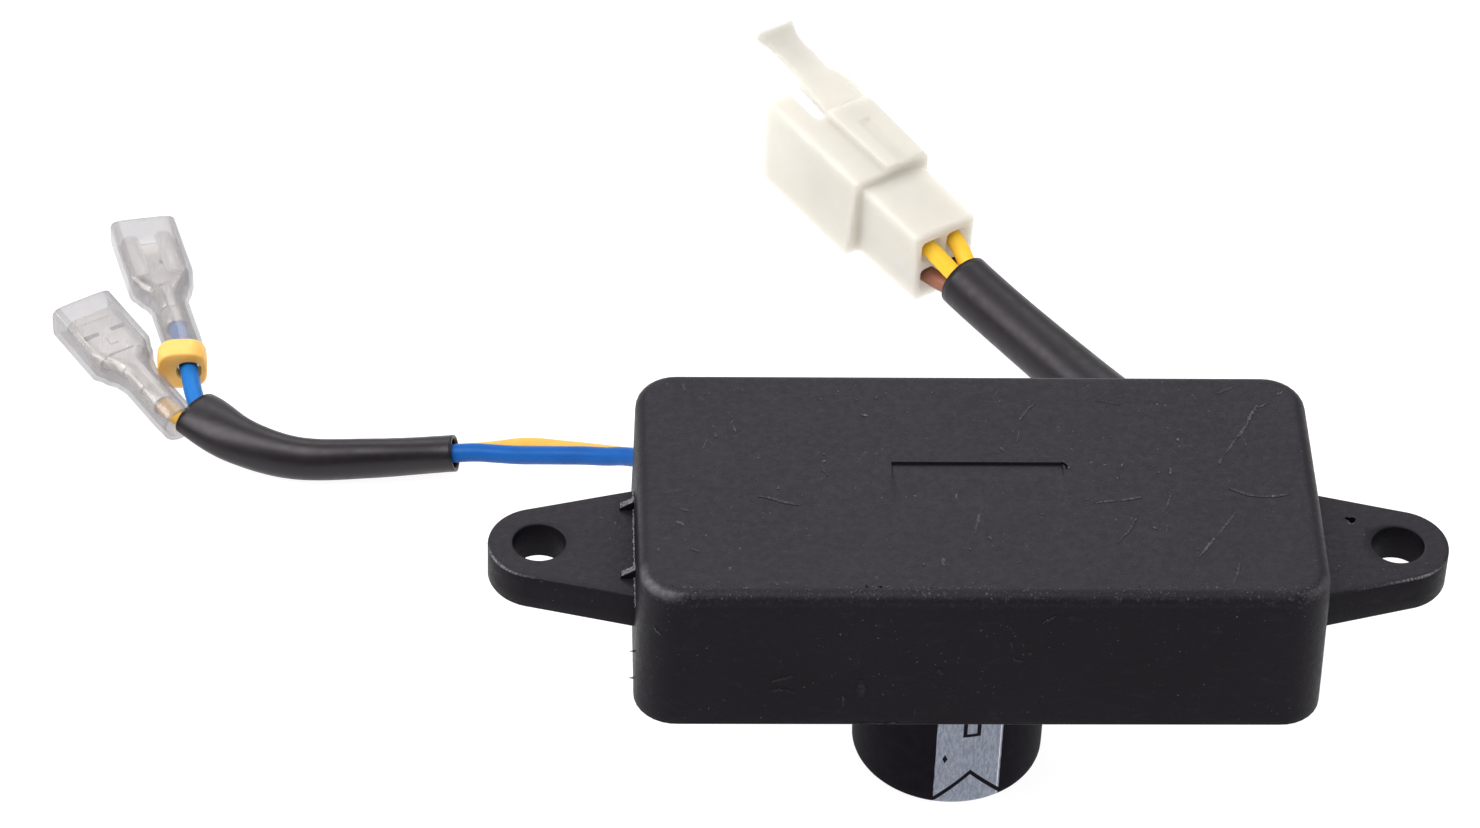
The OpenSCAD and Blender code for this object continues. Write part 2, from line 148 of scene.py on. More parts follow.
def box_object(name, lo, hi):
    x0, y0, z0 = lo
    x1, y1, z1 = hi
    v = [(x0, y0, z0), (x1, y0, z0), (x1, y1, z0), (x0, y1, z0), (x0, y0, z1), (x1, y0, z1), (x1, y1, z1), (x0, y1, z1)]
    f = [(3, 2, 1, 0), (4, 5, 6, 7), (0, 1, 5, 4), (1, 2, 6, 5), (2, 3, 7, 6), (3, 0, 4, 7)]
    return mesh_object(name, v, f, smooth=False)


def smoothstep(a, b, x):
    t = min(1, max(0, (x - a) / (b - a)))
    return t * t * (3 - 2 * t)


# ------------------------------------------------------------------ splines
def spline(points, step):
    """Points about step apart on a centripetal Catmull-Rom curve through the given points."""
    p = [Vector(q) for q in points]
    p = [p[0] * 2 - p[1]] + p + [p[-1] * 2 - p[-2]]
    out = []
    for i in range(1, len(p) - 2):
        a, b, c, d = p[i - 1], p[i], p[i + 1], p[i + 2]
        t0 = 0
        t1 = t0 + max(1e-6, (b - a).length) ** 0.5
        t2 = t1 + max(1e-6, (c - b).length) ** 0.5
        t3 = t2 + max(1e-6, (d - c).length) ** 0.5
        n = max(6, int((c - b).length / 0.2))
        for k in range(n):
            t = t1 + (t2 - t1) * k / n
            a1 = a * ((t1 - t) / (t1 - t0)) + b * ((t - t0) / (t1 - t0))
            a2 = b * ((t2 - t) / (t2 - t1)) + c * ((t - t1) / (t2 - t1))
            a3 = c * ((t3 - t) / (t3 - t2)) + d * ((t - t2) / (t3 - t2))
            b1 = a1 * ((t2 - t) / (t2 - t0)) + a2 * ((t - t0) / (t2 - t0))
            b2 = a2 * ((t3 - t) / (t3 - t1)) + a3 * ((t - t1) / (t3 - t1))
            out.append(b1 * ((t2 - t) / (t2 - t1)) + b2 * ((t - t1) / (t2 - t1)))
    out.append(p[-2])
    return resample(out, step)


def length_of(pts):
    return sum((Vector(b) - Vector(a)).length for a, b in zip(pts, pts[1:]))


def resample(pts, step):
    total = length_of(pts)
    n = max(2, round(total / step))
    want = [total * i / n for i in range(n + 1)]
    out, run, k = [], 0, 0
    for w in want:
        while k < len(pts) - 2 and run + (pts[k + 1] - pts[k]).length < w - 1e-9:
            run += (pts[k + 1] - pts[k]).length
            k += 1
        seg = (pts[k + 1] - pts[k]).length or 1e-9
        out.append(pts[k].lerp(pts[k + 1], min(1, (w - run) / seg)))
    return out


def tangents(p):
    n = len(p) - 1
    return [(p[min(i + 1, n)] - p[max(i - 1, 0)]).normalized() for i in range(n + 1)]


def frames(p):
    """Along, plan-right and up at each point, as in the route's own sections."""
    t = tangents(p)
    rights = []
    for i in range(len(p)):
        j = i
        while j < len(p) - 1 and math.hypot(t[j].x, t[j].y) <= 0.05:
            j += 1
        h = math.hypot(t[j].x, t[j].y) or 1
        rights.append(Vector((t[j].y / h, -t[j].x / h, 0)))
    return [(a, r, r.cross(a)) for a, r in zip(t, rights)]


def route_frames(p):
    return frames([Vector(q) for q in p])


# ------------------------------------------------------------------ node graphs
class Graph:
    def __init__(self, name):
        self.mat = bpy.data.materials.new(name)
        self.mat.use_nodes = True
        self.t = self.mat.node_tree
        self.bsdf = self.t.nodes["Principled BSDF"]

    def new(self, kind, **kw):
        n = self.t.nodes.new(kind)
        for k, v in kw.items():
            setattr(n, k, v)
        return n

    def feed(self, sock, v):
        if isinstance(v, bpy.types.NodeSocket):
            self.t.links.new(v, sock)
        elif v is not None:
            sock.default_value = v

    def set(self, **kw):
        for k, v in kw.items():
            self.feed(self.bsdf.inputs[k.replace("_", " ")], v)
        return self

    def m(self, op, a, b=None, c=None, clamp=False):
        n = self.new("ShaderNodeMath", operation=op, use_clamp=clamp)
        for s, v in zip(n.inputs, (a, b, c)):
            self.feed(s, v)
        return n.outputs[0]

    def coords(self):
        return self.new("ShaderNodeTexCoord").outputs["Object"]

    def xyz(self, vec=None):
        n = self.new("ShaderNodeSeparateXYZ")
        self.feed(n.inputs[0], vec or self.coords())
        return n.outputs[0], n.outputs[1], n.outputs[2]

    def mapped(self, vec, scale=(1, 1, 1), rot=(0, 0, 0), loc=(0, 0, 0)):
        n = self.new("ShaderNodeMapping")
        self.feed(n.inputs["Vector"], vec)
        n.inputs["Scale"].default_value = scale
        n.inputs["Rotation"].default_value = rot
        n.inputs["Location"].default_value = loc
        return n.outputs[0]

    def noise(self, vec, scale, detail=3.0, rough=0.55, dist=0.0):
        n = self.new("ShaderNodeTexNoise")
        self.feed(n.inputs["Vector"], vec)
        n.inputs["Scale"].default_value = scale
        n.inputs["Detail"].default_value = detail
        n.inputs["Roughness"].default_value = rough
        n.inputs["Distortion"].default_value = dist
        return n.outputs[0]

    def voronoi(self, vec, scale, feature="F1"):
        n = self.new("ShaderNodeTexVoronoi", feature=feature)
        self.feed(n.inputs["Vector"], vec)
        n.inputs["Scale"].default_value = scale
        return n.outputs["Distance"]

    def ramp(self, fac, *stops):
        n = self.new("ShaderNodeValToRGB")
        self.feed(n.inputs[0], fac)
        e = n.color_ramp.elements
        while len(e) < len(stops):
            e.new(0.5)
        for el, (pos, col) in zip(e, stops):
            el.position = pos
            el.color = (col, col, col, 1) if isinstance(col, (int, float)) else (*col, 1)
        return n.outputs[0]

    def step(self, x, a, b):
        """0 below a, 1 above b, smooth between."""
        n = self.new("ShaderNodeMapRange", interpolation_type="SMOOTHSTEP")
        self.feed(n.inputs["Value"], x)
        n.inputs["From Min"].default_value = a
        n.inputs["From Max"].default_value = b
        return n.outputs[0]

    def mix(self, fac, a, b, mode="MIX"):
        n = self.new("ShaderNodeMix", data_type="RGBA", blend_type=mode)
        self.feed(n.inputs[0], fac)
        for s, v in ((n.inputs[6], a), (n.inputs[7], b)):
            self.feed(s, (*v, 1) if isinstance(v, tuple) and len(v) == 3 else v)
        return n.outputs[2]

    def attr(self, name):
        return self.new("ShaderNodeAttribute", attribute_name=name).outputs["Fac"]

    def bump(self, height, strength, distance, normal=None):
        n = self.new("ShaderNodeBump")
        n.inputs["Strength"].default_value = strength
        n.inputs["Distance"].default_value = distance
        self.feed(n.inputs["Height"], height)
        if normal is not None:
            self.feed(n.inputs["Normal"], normal)
        self.feed(self.bsdf.inputs["Normal"], n.outputs[0])
        return n.outputs[0]


def insulation(name, col, dark, rough=0.38, end=None):
    g = Graph(name)
    c = g.coords()
    big = g.noise(c, 220, 2)
    fine = g.noise(c, 2600, 2)
    base = g.mix(g.step(big, 0.3, 0.75), dark, col)
    # painted highlight: with end set, the wire past the sleeve's mouth takes the lighter end colour
    if end:      # lighter where it leaves the sleeve
        x, y, z = g.xyz(c)
        base = g.mix(g.step(x, -0.0765, -0.0735), end, base)
    g.set(Base_Color=base, Roughness=g.ramp(fine, (0.3, rough - 0.06), (0.7, rough + 0.1)))
    g.set(Specular_IOR_Level=0.14)
    g.bump(fine, 0.12, 0.00004)
    return g.mat


def sleeving(name, rough=(0.33, 0.46), spec=0.43):
    g = Graph(name)
    c = g.coords()
    a = g.noise(c, 160, 3)
    f = g.noise(c, 3200, 3)
    s = g.noise(c, 900, 4, 0.6)
    g.set(Base_Color=g.mix(g.step(a, 0.35, 0.7), (0.0066, 0.0054, 0.0068), (0.0092, 0.0077, 0.0094)), Roughness=g.ramp(s, (0.3, rough[0]), (0.75, rough[1])))
    g.set(Specular_IOR_Level=spec, Specular_Tint=(1.0, 0.93, 0.99, 1))
    g.bump(g.m("ADD", g.m("MULTIPLY", s, 0.6), g.m("MULTIPLY", f, 0.5)), 0.22, 0.00006)
    return g.mat


def metal(name, col, rough=0.25, grain=(900, 60, 900), metallic=1.0):
    g = Graph(name)
    c = g.coords()
    n = g.noise(g.mapped(c, grain), 1.0, 4)
    b = g.noise(c, 500, 3)
    g.set(Base_Color=g.mix(g.step(b, 0.3, 0.7), tuple(x * 0.8 for x in col), col), Metallic=metallic, Roughness=g.ramp(n, (0.3, rough - 0.08), (0.7, rough + 0.14)))
    g.bump(n, 0.15, 0.00003)
    return g.mat


def moulded(name, col, rough=0.5, var=0.25, spec=0.5):
    g = Graph(name)
    c = g.coords()
    b = g.noise(c, 260, 3)
    f = g.noise(c, 2400, 3)
    g.set(Base_Color=g.mix(g.step(b, 0.3, 0.7), tuple(x * (1 - var) for x in col), col), Roughness=g.ramp(f, (0.3, rough - 0.07), (0.7, rough + 0.1)))
    g.set(Specular_IOR_Level=spec)
    g.bump(f, 0.2, 0.00005)
    return g.mat


MAT = {}
# painted highlight: the end colour makes the blue lead lighter past the sleeve's mouth
MAT["blue"] = insulation("blue_insulation", (0.0032, 0.086, 0.335), (0.0025, 0.073, 0.295), end=(0.012, 0.15, 0.47))
MAT["yellow"] = insulation("yellow_insulation", (0.97, 0.60, 0.05), (0.93, 0.54, 0.035))
# painted shade: a darker copy of the yellow insulation for the lead, to hold back how brightly it is lit
MAT["yellow_lead"] = insulation("yellow_lead_insulation", (0.68, 0.40, 0.078), (0.64, 0.365, 0.058))
MAT["brown"] = insulation("brown_insulation", (0.30, 0.125, 0.085), (0.24, 0.095, 0.06))
MAT["black"] = insulation("black_insulation", (0.02, 0.02, 0.021), (0.012, 0.012, 0.013))
MAT["sleeve"] = sleeving("sleeving", spec=0.40)
MAT["sleeve_harness"] = sleeving("harness_sleeving", (0.36, 0.50), 0.32)
MAT["tin"] = metal("tin_plate", (0.80, 0.755, 0.69), 0.28, metallic=0.5)
MAT["brass"] = metal("contact_brass", (0.75, 0.58, 0.30), 0.28)
MAT["aluminium"] = metal("drawn_aluminium", (0.80, 0.81, 0.82), 0.3, (60, 60, 60))
MAT["board"] = moulded("board_laminate", (0.10, 0.22, 0.07), 0.4)
MAT["component"] = moulded("component_black", (0.016, 0.016, 0.017), 0.5)
MAT["resistor"] = moulded("resistor_coat", (0.55, 0.42, 0.25), 0.45)
MAT["zener"] = moulded("zener_glass", (0.55, 0.20, 0.07), 0.2)
MAT["filmcap"] = moulded("film_capacitor_box", (0.42, 0.05, 0.03), 0.35)
# near-black finish for painted shade: flat patches on the ear's pit and the tear at the recess
MAT["pit"] = moulded("case_pit_shade", (0.0022, 0.0020, 0.0024), 0.8, spec=0.0)
MAT["trimmer"] = moulded("trimmer_blue", (0.05, 0.12, 0.36), 0.45)


# ------------------------------------------------------------------ cords: routes repeated from the part
LEAD = [(-21, 0, 27.4), (-21, 0, 18.2), (-21.8, 2.6, 14.2), (-23.6, 7.6, 12.8), (-26, 16.6, 13), (-29.4, 26, 12.8),
        (-34.1, 30.17, 10.05), (-39, 33.2, 7.75), (-42.7, 35.55, 5.85), (-46.9, 37.85, 3.65), (-49.35, 38.7, 2.7), (-58, 38.2, 2.4), (-66, 38.4, 2.25), (-72, 41.3, 2.1), (-76.7, 45.3, 1.95)]
TURN = [0, 0, -10, -25, -33, -28, -29, -17, -9, -33, -40, -85, -115, -148, -180]
BLUE_END = [(-76.75, 48.5, 2.3), (-77.25, 51.1, 2.5), (-77.95, 54.6, 2.6), (-78.55, 57.2, 2.55), (-79.0, 59.0, 2.5)]
YELLOW_END = [(-79.6, 46.3, 2.1), (-80.5, 47.7, 2.1)]
HARNESS = [(25, 0, 27.4), (25, 0, 18.2), (25.2, 2.8, 13.4), (25.6, 7, 11.2), (26.4, 16, 9.4), (26.4, 27, 6.8),
           (23.4, 38, 3.8), (15.6, 50, 3), (4.4, 64.8, 4.2), (2.1, 68.2, 4.7), (-1.2, 73.4, 4.7)]
HA = [0.95] * 9 + [1.6, 1.6]
HB = [0.95] * 9 + [1.8, 1.8]
WIRE_D = 1.9


def pair_path(side):
    out = []
    for p, (t, r, b), a in zip(LEAD, route_frames(LEAD), TURN):
        c, s = math.cos(math.radians(a)), math.sin(math.radians(a))
        out.append(Vector(p) + (r * c + b * s) * (side * 0.95))
    return out


def harness_path(a, b):
    return [Vector(p) + r * (a * x) + u * (b * y) for p, (t, r, u), x, y in zip(HARNESS, route_frames(HARNESS), HA, HB)]


def wire(name, points, mat, node, slot):
    pts = spline(points, length_of(points) / 38)
    cu = bpy.data.curves.new(name, "CURVE")
    cu.dimensions = "3D"
    sp = cu.splines.new("BEZIER")
    sp.bezier_points.add(len(pts) - 1)
    for q, p in zip(sp.bezier_points, pts):
        q.co = p * MM
        q.handle_left_type = q.handle_right_type = "AUTO"
    sp.resolution_u = 6
    cu.bevel_depth = WIRE_D / 2 * MM
    cu.bevel_resolution = 6
    cu.use_fill_caps = True
    cu.materials.append(mat)
    o = bpy.data.objects.new(name, cu)
    put(o, node, slot=slot)
    return o, length_of(spline(points, 0.3))


def hollow_tube(name, pts, outer, inner, segs, mats, lip=0.12):
    """A tube along pts; outer(i) and inner(i) give ring points. Its ends are closed by flat rings with a loop halfway
    across.
    """
    n = len(pts)
    rings = [inner(i) for i in range(n - 1, -1, -1)]
    rings += [[a.lerp(b, 0.5) for a, b in zip(inner(0), outer(0))]]
    rings += [outer(i) for i in range(n)]
    rings += [[a.lerp(b, 0.5) for a, b in zip(outer(n - 1), inner(n - 1))]]
    v = [p for r in rings for p in r]
    m = len(rings)
    f = []
    for i in range(m):
        for j in range(segs):
            a, b = i * segs + j, i * segs + (j + 1) % segs
            c, d = ((i + 1) % m) * segs + (j + 1) % segs, ((i + 1) % m) * segs + j
            f.append((a, b, c, d))
    o = mesh_object(name, v, f, mats)
    bm = bmesh.new()
    bm.from_mesh(o.data)
    bmesh.ops.recalc_face_normals(bm, faces=bm.faces)
    bm.to_mesh(o.data)
    bm.free()
    return o


for key, pts, mat, node, slot in (
    ("blue", pair_path(-1) + [Vector(p) for p in BLUE_END], "blue", "blue_wire", "blue_insulation"),
    ("yellow", pair_path(1) + [Vector(p) for p in YELLOW_END], "yellow_lead", "yellow_wire", "yellow_insulation"),
    ("hyl", harness_path(-1, 1), "yellow", "harness_yellow_wire_left", "yellow_insulation"),
    ("hyr", harness_path(1, 1), "yellow", "harness_yellow_wire_right", "yellow_insulation"),
    ("hbr", harness_path(-1, -1), "brown", "harness_brown_wire", "brown_insulation"),
    ("hbk", harness_path(1, -1), "black", "harness_black_wire", "black_insulation"),
):
    wire(node + "_visual", pts, MAT[mat], node, slot) + (pts[1],)


def lead_sleeve():
    fine = spline(LEAD[7:], 0.5)
    turn = TURN[7:]
    base = [Vector(p) for p in LEAD[7:]]
    # the part of the line from the mouth at the box side to the far end
    start = min(range(len(fine)), key=lambda i: (fine[i] - base[3]).length)
    # turn at each fine point from the nearest two route points
    run = [0]
    for a, b in zip(fine, fine[1:]):
        run.append(run[-1] + (b - a).length)
    keys = [run[min(range(len(fine)), key=lambda i: (fine[i] - b).length)] for b in base]
    ang = np.interp(run, keys, turn)
    fr = frames(fine)
    pts, fr, ang = fine[start:], fr[start:], ang[start:]
    segs = 40

    def ring(dw, dh):
        def at(i):
            t, r, b = fr[i]
            far = smoothstep(0.45, 1.0, i / (len(pts) - 1))
            mouth = smoothstep(0.72, 1.02, i / (len(pts) - 1))
            w, h = 4.4 + 0.8 * far + 0.8 * mouth - dw, 3.8 - 0.2 * far - dh
            o = pts[i] + Vector((0.67, 0.74, 0)) * (0.42 * mouth)
            a = math.radians(ang[i])
            u, v = r * math.cos(a) + b * math.sin(a), b * math.cos(a) - r * math.sin(a)
            return [o + u * (w / 2 * math.cos(2 * math.pi * j / segs)) + v * (h / 2 * math.sin(2 * math.pi * j / segs)) for j in range(segs)]
        return at

    o = hollow_tube("brush_lead_sleeve_visual", pts, ring(0, 0), ring(0.56, 0.56), segs, [MAT["sleeve"]])
    return put(o, "brush_lead_sleeve", slot="sleeving"), pts


def harness_sleeve():
    fine = spline(HARNESS, 0.6)
    i0 = min(range(len(fine)), key=lambda i: (fine[i] - Vector(HARNESS[3])).length)
    i1 = min(range(len(fine)), key=lambda i: (fine[i] - Vector(HARNESS[8])).length)
    fr = frames(fine)[i0:i1 + 1]
    pts = fine[i0:i1 + 1]
    segs = 48

    def ring(wide):
        def at(i):
            t, r, b = fr[i]
            k = 0.09 * smoothstep(-62, -40, -pts[i].y)
            d, o = wide * (1 + k), pts[i] + Vector((0, 0, 3.0 * k))
            return [o + r * (d / 2 * math.cos(2 * math.pi * j / segs)) + b * (d / 2 * math.sin(2 * math.pi * j / segs)) for j in range(segs)]
        return at

    o = hollow_tube("harness_sleeve_visual", pts, ring(6.0), ring(5.0), segs, [MAT["sleeve_harness"]])
    return put(o, "harness_sleeve", slot="sleeving"), pts


sleeve_l, sleeve_l_pts = lead_sleeve()
sleeve_r, sleeve_r_pts = harness_sleeve()


# ------------------------------------------------------------------ floor and light
def stage():
    s = 3.0
    me = bpy.data.meshes.new("floor")
    me.from_pydata([(-s, -s, 0), (s, -s, 0), (s, s, 0), (-s, s, 0)], [], [(0, 1, 2, 3)])
    o = bpy.data.objects.new("floor", me)
    scene.collection.objects.link(o)
    g = Graph("floor")
    n = g.noise(g.coords(), 40, 2)
    g.set(Base_Color=g.mix(n, (0.235, 0.235, 0.235), (0.245, 0.245, 0.245)), Roughness=0.9)
    g.set(Specular_IOR_Level=0.05, Emission_Color=(1, 1, 1, 1), Emission_Strength=0.94)
    me.materials.append(g.mat)
    o.location.z = -0.00005
    w = bpy.data.worlds.new("world")
    w.use_nodes = True
    t = w.node_tree
    bg = t.nodes["Background"]
    tc, sep, mr = t.nodes.new("ShaderNodeTexCoord"), t.nodes.new("ShaderNodeSeparateXYZ"), t.nodes.new("ShaderNodeMapRange")
    mr.interpolation_type = "SMOOTHSTEP"
    t.links.new(tc.outputs["Generated"], sep.inputs[0])
    t.links.new(sep.outputs[1], mr.inputs["Value"])
    for k, v in (("From Min", -0.45), ("From Max", 0.45), ("To Min", 0.20), ("To Max", 0.60)):
        mr.inputs[k].default_value = v
    bg.inputs[0].default_value = (1, 1, 1, 1)
    t.links.new(mr.outputs[0], bg.inputs[1])
    scene.world = w
    scene.view_settings.view_transform = "Standard"
    scene.view_settings.look = "None"

    def area(name, loc, target, size, power):
        l = bpy.data.lights.new(name, "AREA")
        l.shape = "RECTANGLE"
        l.size, l.size_y = size
        l.energy = power
        q = bpy.data.objects.new(name, l)
        q.location = loc
        q.rotation_euler = (Vector(target) - Vector(loc)).to_track_quat("-Z", "Y").to_euler()
        scene.collection.objects.link(q)

    area("key", (-0.02, 0.66, 0.60), (0, 0.03, 0.02), (0.62, 0.42), 1.9)
    area("top", (-0.22, -0.12, 0.62), (-0.02, 0.03, 0.01), (0.46, 0.34), 2.95)
    area("left", (-0.66, 0.06, 0.50), (-0.02, 0.03, 0.02), (0.44, 0.44), 4.1)
    area("right", (0.76, 0.0, 0.42), (0.02, 0.03, 0.02), (0.34, 0.34), 1.7)


stage()

# ------------------------------------------------------------------ housing
BX, TOP, RIM, CEIL = 0.4, 33.8, 17.55, 31.8
HX, HY, CR, ER, WALL = 32.25, 15.9, 4.0, 1.3, 1.8
RECESS = (8.1, 5.8 / 2, 0.3)
FLARE = (0.26, 0.16)      # how far side and front walls stand out at the rim
LEFT_RIGHT = (BX - HX, BX + HX)


def case_material():
    g = Graph("case_plastic")
    c = g.coords()
    grain = g.noise(c, 5200, 2, 0.5)
    mid = g.noise(c, 1500, 3, 0.6)
    cloud = g.noise(c, 60, 3, 0.5)
    rub = g.noise(g.mapped(c, (420, 900, 900), (0, 0, 0.35)), 1.0, 4, 0.7)
    speck = g.step(g.noise(c, 3600, 1, 0.4), 0.735, 0.80)
    speck = g.m("MULTIPLY", speck, g.step(g.noise(c, 240, 3, 0.6), 0.45, 0.62))
    wear = g.attr("wear")
    worn = g.m("MULTIPLY", wear, g.step(g.noise(c, 3000, 4, 0.75), 0.50, 0.70))
    base = g.mix(g.step(cloud, 0.3, 0.7), (0.0062, 0.0052, 0.0071), (0.0080, 0.0067, 0.0091))
    base = g.mix(g.m("MULTIPLY", g.step(rub, 0.56, 0.78), 0.35), base, (0.024, 0.023, 0.026))
    base = g.mix(g.m("MULTIPLY", speck, 0.55), base, (0.16, 0.158, 0.16))
    base = g.mix(g.m("MULTIPLY", worn, 0.6), base, (0.085, 0.083, 0.086))
    # lighter where the per-vertex weight is set: real scratches, nicks and specks, and painted highlights on the ear
    # edges, gusset tops and the pit's rim
    patch = g.ramp(g.noise(c, 5200, 3, 0.7), (0.42, 0.08), (0.60, 1.0))
    base = g.mix(g.m("MULTIPLY", g.attr("scuff_and_sheen"), patch), base, (0.15, 0.147, 0.152))
    # painted highlight: the two front corners of the top edge are lightened, the left one more
    x, y, z = g.xyz(c)
    rim = g.m("MULTIPLY", g.step(z, 0.0328, 0.0334), g.m("SUBTRACT", 1.0, g.step(z, 0.03360, 0.0338)))
    for cx, cy, reach, strength in ((-0.0302, -0.0138, 0.0034, 0.75), (0.0313, -0.0141, 0.0024, 0.30)):
        dx, dy = g.m("SUBTRACT", x, cx), g.m("SUBTRACT", y, cy)
        d2 = g.m("ADD", g.m("MULTIPLY", dx, dx), g.m("MULTIPLY", dy, dy))
        near = g.m("SUBTRACT", 1.0, g.step(d2, 0.0, reach * reach))
        soft = g.m("MULTIPLY", near, g.ramp(g.noise(c, 1800, 3, 0.6), (0.35, 0.45), (0.62, 1.0)))
        base = g.mix(g.m("MULTIPLY", g.m("MULTIPLY", rim, soft), strength), base, (0.115, 0.110, 0.118))
    g.set(Base_Color=base, Roughness=g.ramp(mid, (0.3, 0.42), (0.7, 0.54)))
    ear = g.m("MULTIPLY", g.step(g.m("ABSOLUTE", g.m("SUBTRACT", x, 0.0004)), 0.03245, 0.03255), g.step(z, 0.0258, 0.0259))
    satin = g.m("MAXIMUM", g.step(z, 0.0324, 0.0334), ear)
    g.set(Specular_IOR_Level=g.ramp(satin, (0.0, 0.08), (1.0, 0.26)))
    g.set(Specular_Tint=(0.93, 0.865, 1.0, 1))
    h = g.m("ADD", g.m("MULTIPLY", grain, 0.6), g.m("MULTIPLY", mid, 0.7))
    g.bump(h, 0.40, 0.00009)
    return g.mat


# scratches, nicks and specks: middle line in mm, width in mm, strength
TOP_MARKS = [
    ([(-24.34, 6.94), (-24.25, 6.37)], 0.25, 0.80),
    ([(-25.82, 4.36), (-25.42, 5.08), (-25.12, 6.08)], 0.15, 0.70),
    ([(-22.59, 8.09), (-22.34, 6.95)], 0.15, 0.60),
    ([(-10.31, 9.75), (-9.65, 9.46)], 0.21, 1.00),
    ([(-14.06, 4.14), (-14.08, 3.85)], 0.19, 0.70),
    ([(-14.1, 3.14), (-14.12, 2.79)], 0.25, 1.00),
    ([(-14.41, 2.58), (-14.25, 1.73), (-13.81, 0.88)], 0.12, 0.40),
    ([(-18.68, -0.83), (-18.45, -0.82)], 0.23, 1.00),
    ([(-20.51, -1.95), (-19.39, -2.23), (-18.0, -2.78), (-16.6, -3.19)], 0.15, 0.55),
    ([(-27.87, -3.66), (-26.94, -4.07)], 0.21, 0.45),
    ([(-28.28, -5.46), (-27.54, -6.01)], 0.23, 0.95),
    ([(-30.12, -9.45), (-29.89, -9.45)], 0.29, 1.00),
    ([(-27.05, -9.3), (-26.13, -9.57)], 0.17, 0.50),
    ([(-23.44, -11.74), (-23.41, -12.29)], 0.27, 0.75),
    ([(-22.04, -14.58), (-21.76, -14.58)], 0.29, 0.95),
    ([(-19.38, -13.76), (-19.02, -14.16)], 0.17, 0.65),
    ([(-27.8, -14.33), (-27.53, -14.6)], 0.19, 0.60),
    ([(-5.51, -11.27), (-5.23, -11.27)], 0.29, 0.95),
    ([(-3.55, -10.37), (-3.57, -11.53)], 0.27, 0.95),
    ([(0.71, -3.11), (0.25, -4.37), (0.02, -5.2), (-0.24, -6.31), (-0.39, -7.27)], 0.14, 0.50),
    ([(-1.06, -9.2), (-0.87, -9.2)], 0.29, 0.60),
    ([(-1.46, -14.5), (-1.09, -14.5)], 0.21, 0.80),
    ([(-0.24, -14.23), (-0.06, -14.23)], 0.21, 0.60),
    ([(-27.33, 14.15), (-27.07, 12.99)], 0.17, 0.60),
    ([(29.15, 11.71), (27.81, 10.83)], 0.13, 0.70),
    ([(27.85, 11.26), (27.49, 10.54), (27.03, 9.66), (26.63, 8.5)], 0.19, 0.95),
    ([(26.63, 8.5), (25.82, 7.06), (25.38, 6.48)], 0.19, 0.95),
    ([(25.82, 7.06), (26.12, 6.2), (26.31, 5.2)], 0.12, 0.60),
    ([(25.38, 6.48), (24.9, 5.48), (24.13, 4.33)], 0.14, 0.75),
    ([(23.77, 3.62), (23.41, 2.76)], 0.17, 0.70),
    ([(29.83, 12.73), (30.67, 13.32)], 0.19, 0.70),
    ([(23.95, 12.84), (25.18, 13.58), (26.3, 14.18)], 0.15, 0.50),
    ([(21.72, 12.83), (22.12, 11.81)], 0.15, 0.50),
    ([(4.88, 8.96), (5.54, 10.27), (6.49, 11.58)], 0.15, 0.65),
    ([(4.85, 9.25), (5.03, 9.11)], 0.25, 0.95),
    ([(4.69, 7.52), (4.38, 5.66)], 0.12, 0.50),
    ([(2.72, 5.08), (3.07, 4.51)], 0.21, 0.60),
    ([(2.7, 12.43), (3.05, 13.45)], 0.15, 0.50),
    ([(15.32, 11.19), (15.6, 11.12)], 0.21, 1.00),
    ([(12.29, 11.9), (13.43, 11.62), (14.65, 11.19)], 0.11, 0.45),
    ([(18.81, 8.03), (19.06, 7.6)], 0.15, 0.60),
    ([(19.82, 6.45), (19.79, 6.02)], 0.19, 0.85),
    ([(20.01, 7.46), (20.33, 7.89)], 0.15, 0.60),
    ([(13.5, 0.87), (13.67, 0.59)], 0.25, 1.00),
    ([(14.28, 2.86), (14.03, 2.15)], 0.13, 0.70),
    ([(15.16, 3.15), (15.23, 2.86)], 0.15, 0.70),
    ([(18.71, 2.31), (18.7, 1.18)], 0.17, 0.85),
    ([(17.41, 1.6), (17.69, 1.6)], 0.19, 0.85),
    ([(11.19, -2.79), (12.44, -2.5), (13.58, -2.36)], 0.14, 0.60),
    ([(13.58, -2.36), (14.54, -2.21), (15.6, -1.93)], 0.19, 0.75),
    ([(10.28, -2.37), (10.68, -2.09)], 0.15, 0.60),
    ([(23.95, -0.63), (25.04, -1.18), (25.95, -1.6), (27.06, -1.88)], 0.14, 0.55),
    ([(27.06, -1.88), (28.3, -1.73), (29.75, -1.44)], 0.14, 0.55),
    ([(27.92, -1.73), (28.4, -1.73)], 0.25, 0.80),
    ([(18.22, -1.21), (18.48, -1.49), (18.22, -2.34), (17.83, -3.59)], 0.12, 0.50),
    ([(24.4, -3.98), (23.28, -5.79), (22.09, -7.6)], 0.14, 0.60),
    ([(22.09, -7.6), (21.22, -8.84), (20.35, -10.21)], 0.16, 0.75),
    ([(21.78, -7.87), (22.09, -7.6)], 0.25, 0.95),
    ([(15.23, -4.16), (14.66, -5.41), (13.99, -6.8), (12.84, -8.32)], 0.11, 0.45),
    ([(24.12, -10.88), (23.82, -12.11), (23.18, -14.01)], 0.15, 0.50),
    ([(16.39, -6.1), (16.74, -6.38)], 0.25, 0.50),
    ([(5.98, -4.48), (6.27, -4.34)], 0.25, 0.50),
    ([(0.82, -7.41), (1.16, -7.96)], 0.23, 0.50),
    ([(3.4, -10.96), (3.78, -10.82)], 0.23, 0.45),
    ([(-10.97, 12.06), (-10.51, 11.77)], 0.15, 0.50),
    ([(-14.24, 12.04), (-13.96, 11.75)], 0.15, 0.50),
    ([(-24.87, 12.71), (-24.68, 12.56)], 0.19, 0.60),
    ([(-8.56, 12.37), (-8.96, 11.93)], 0.15, 0.50),
    ([(29.56, 9.97), (29.64, 9.82)], 0.17, 0.60),
]
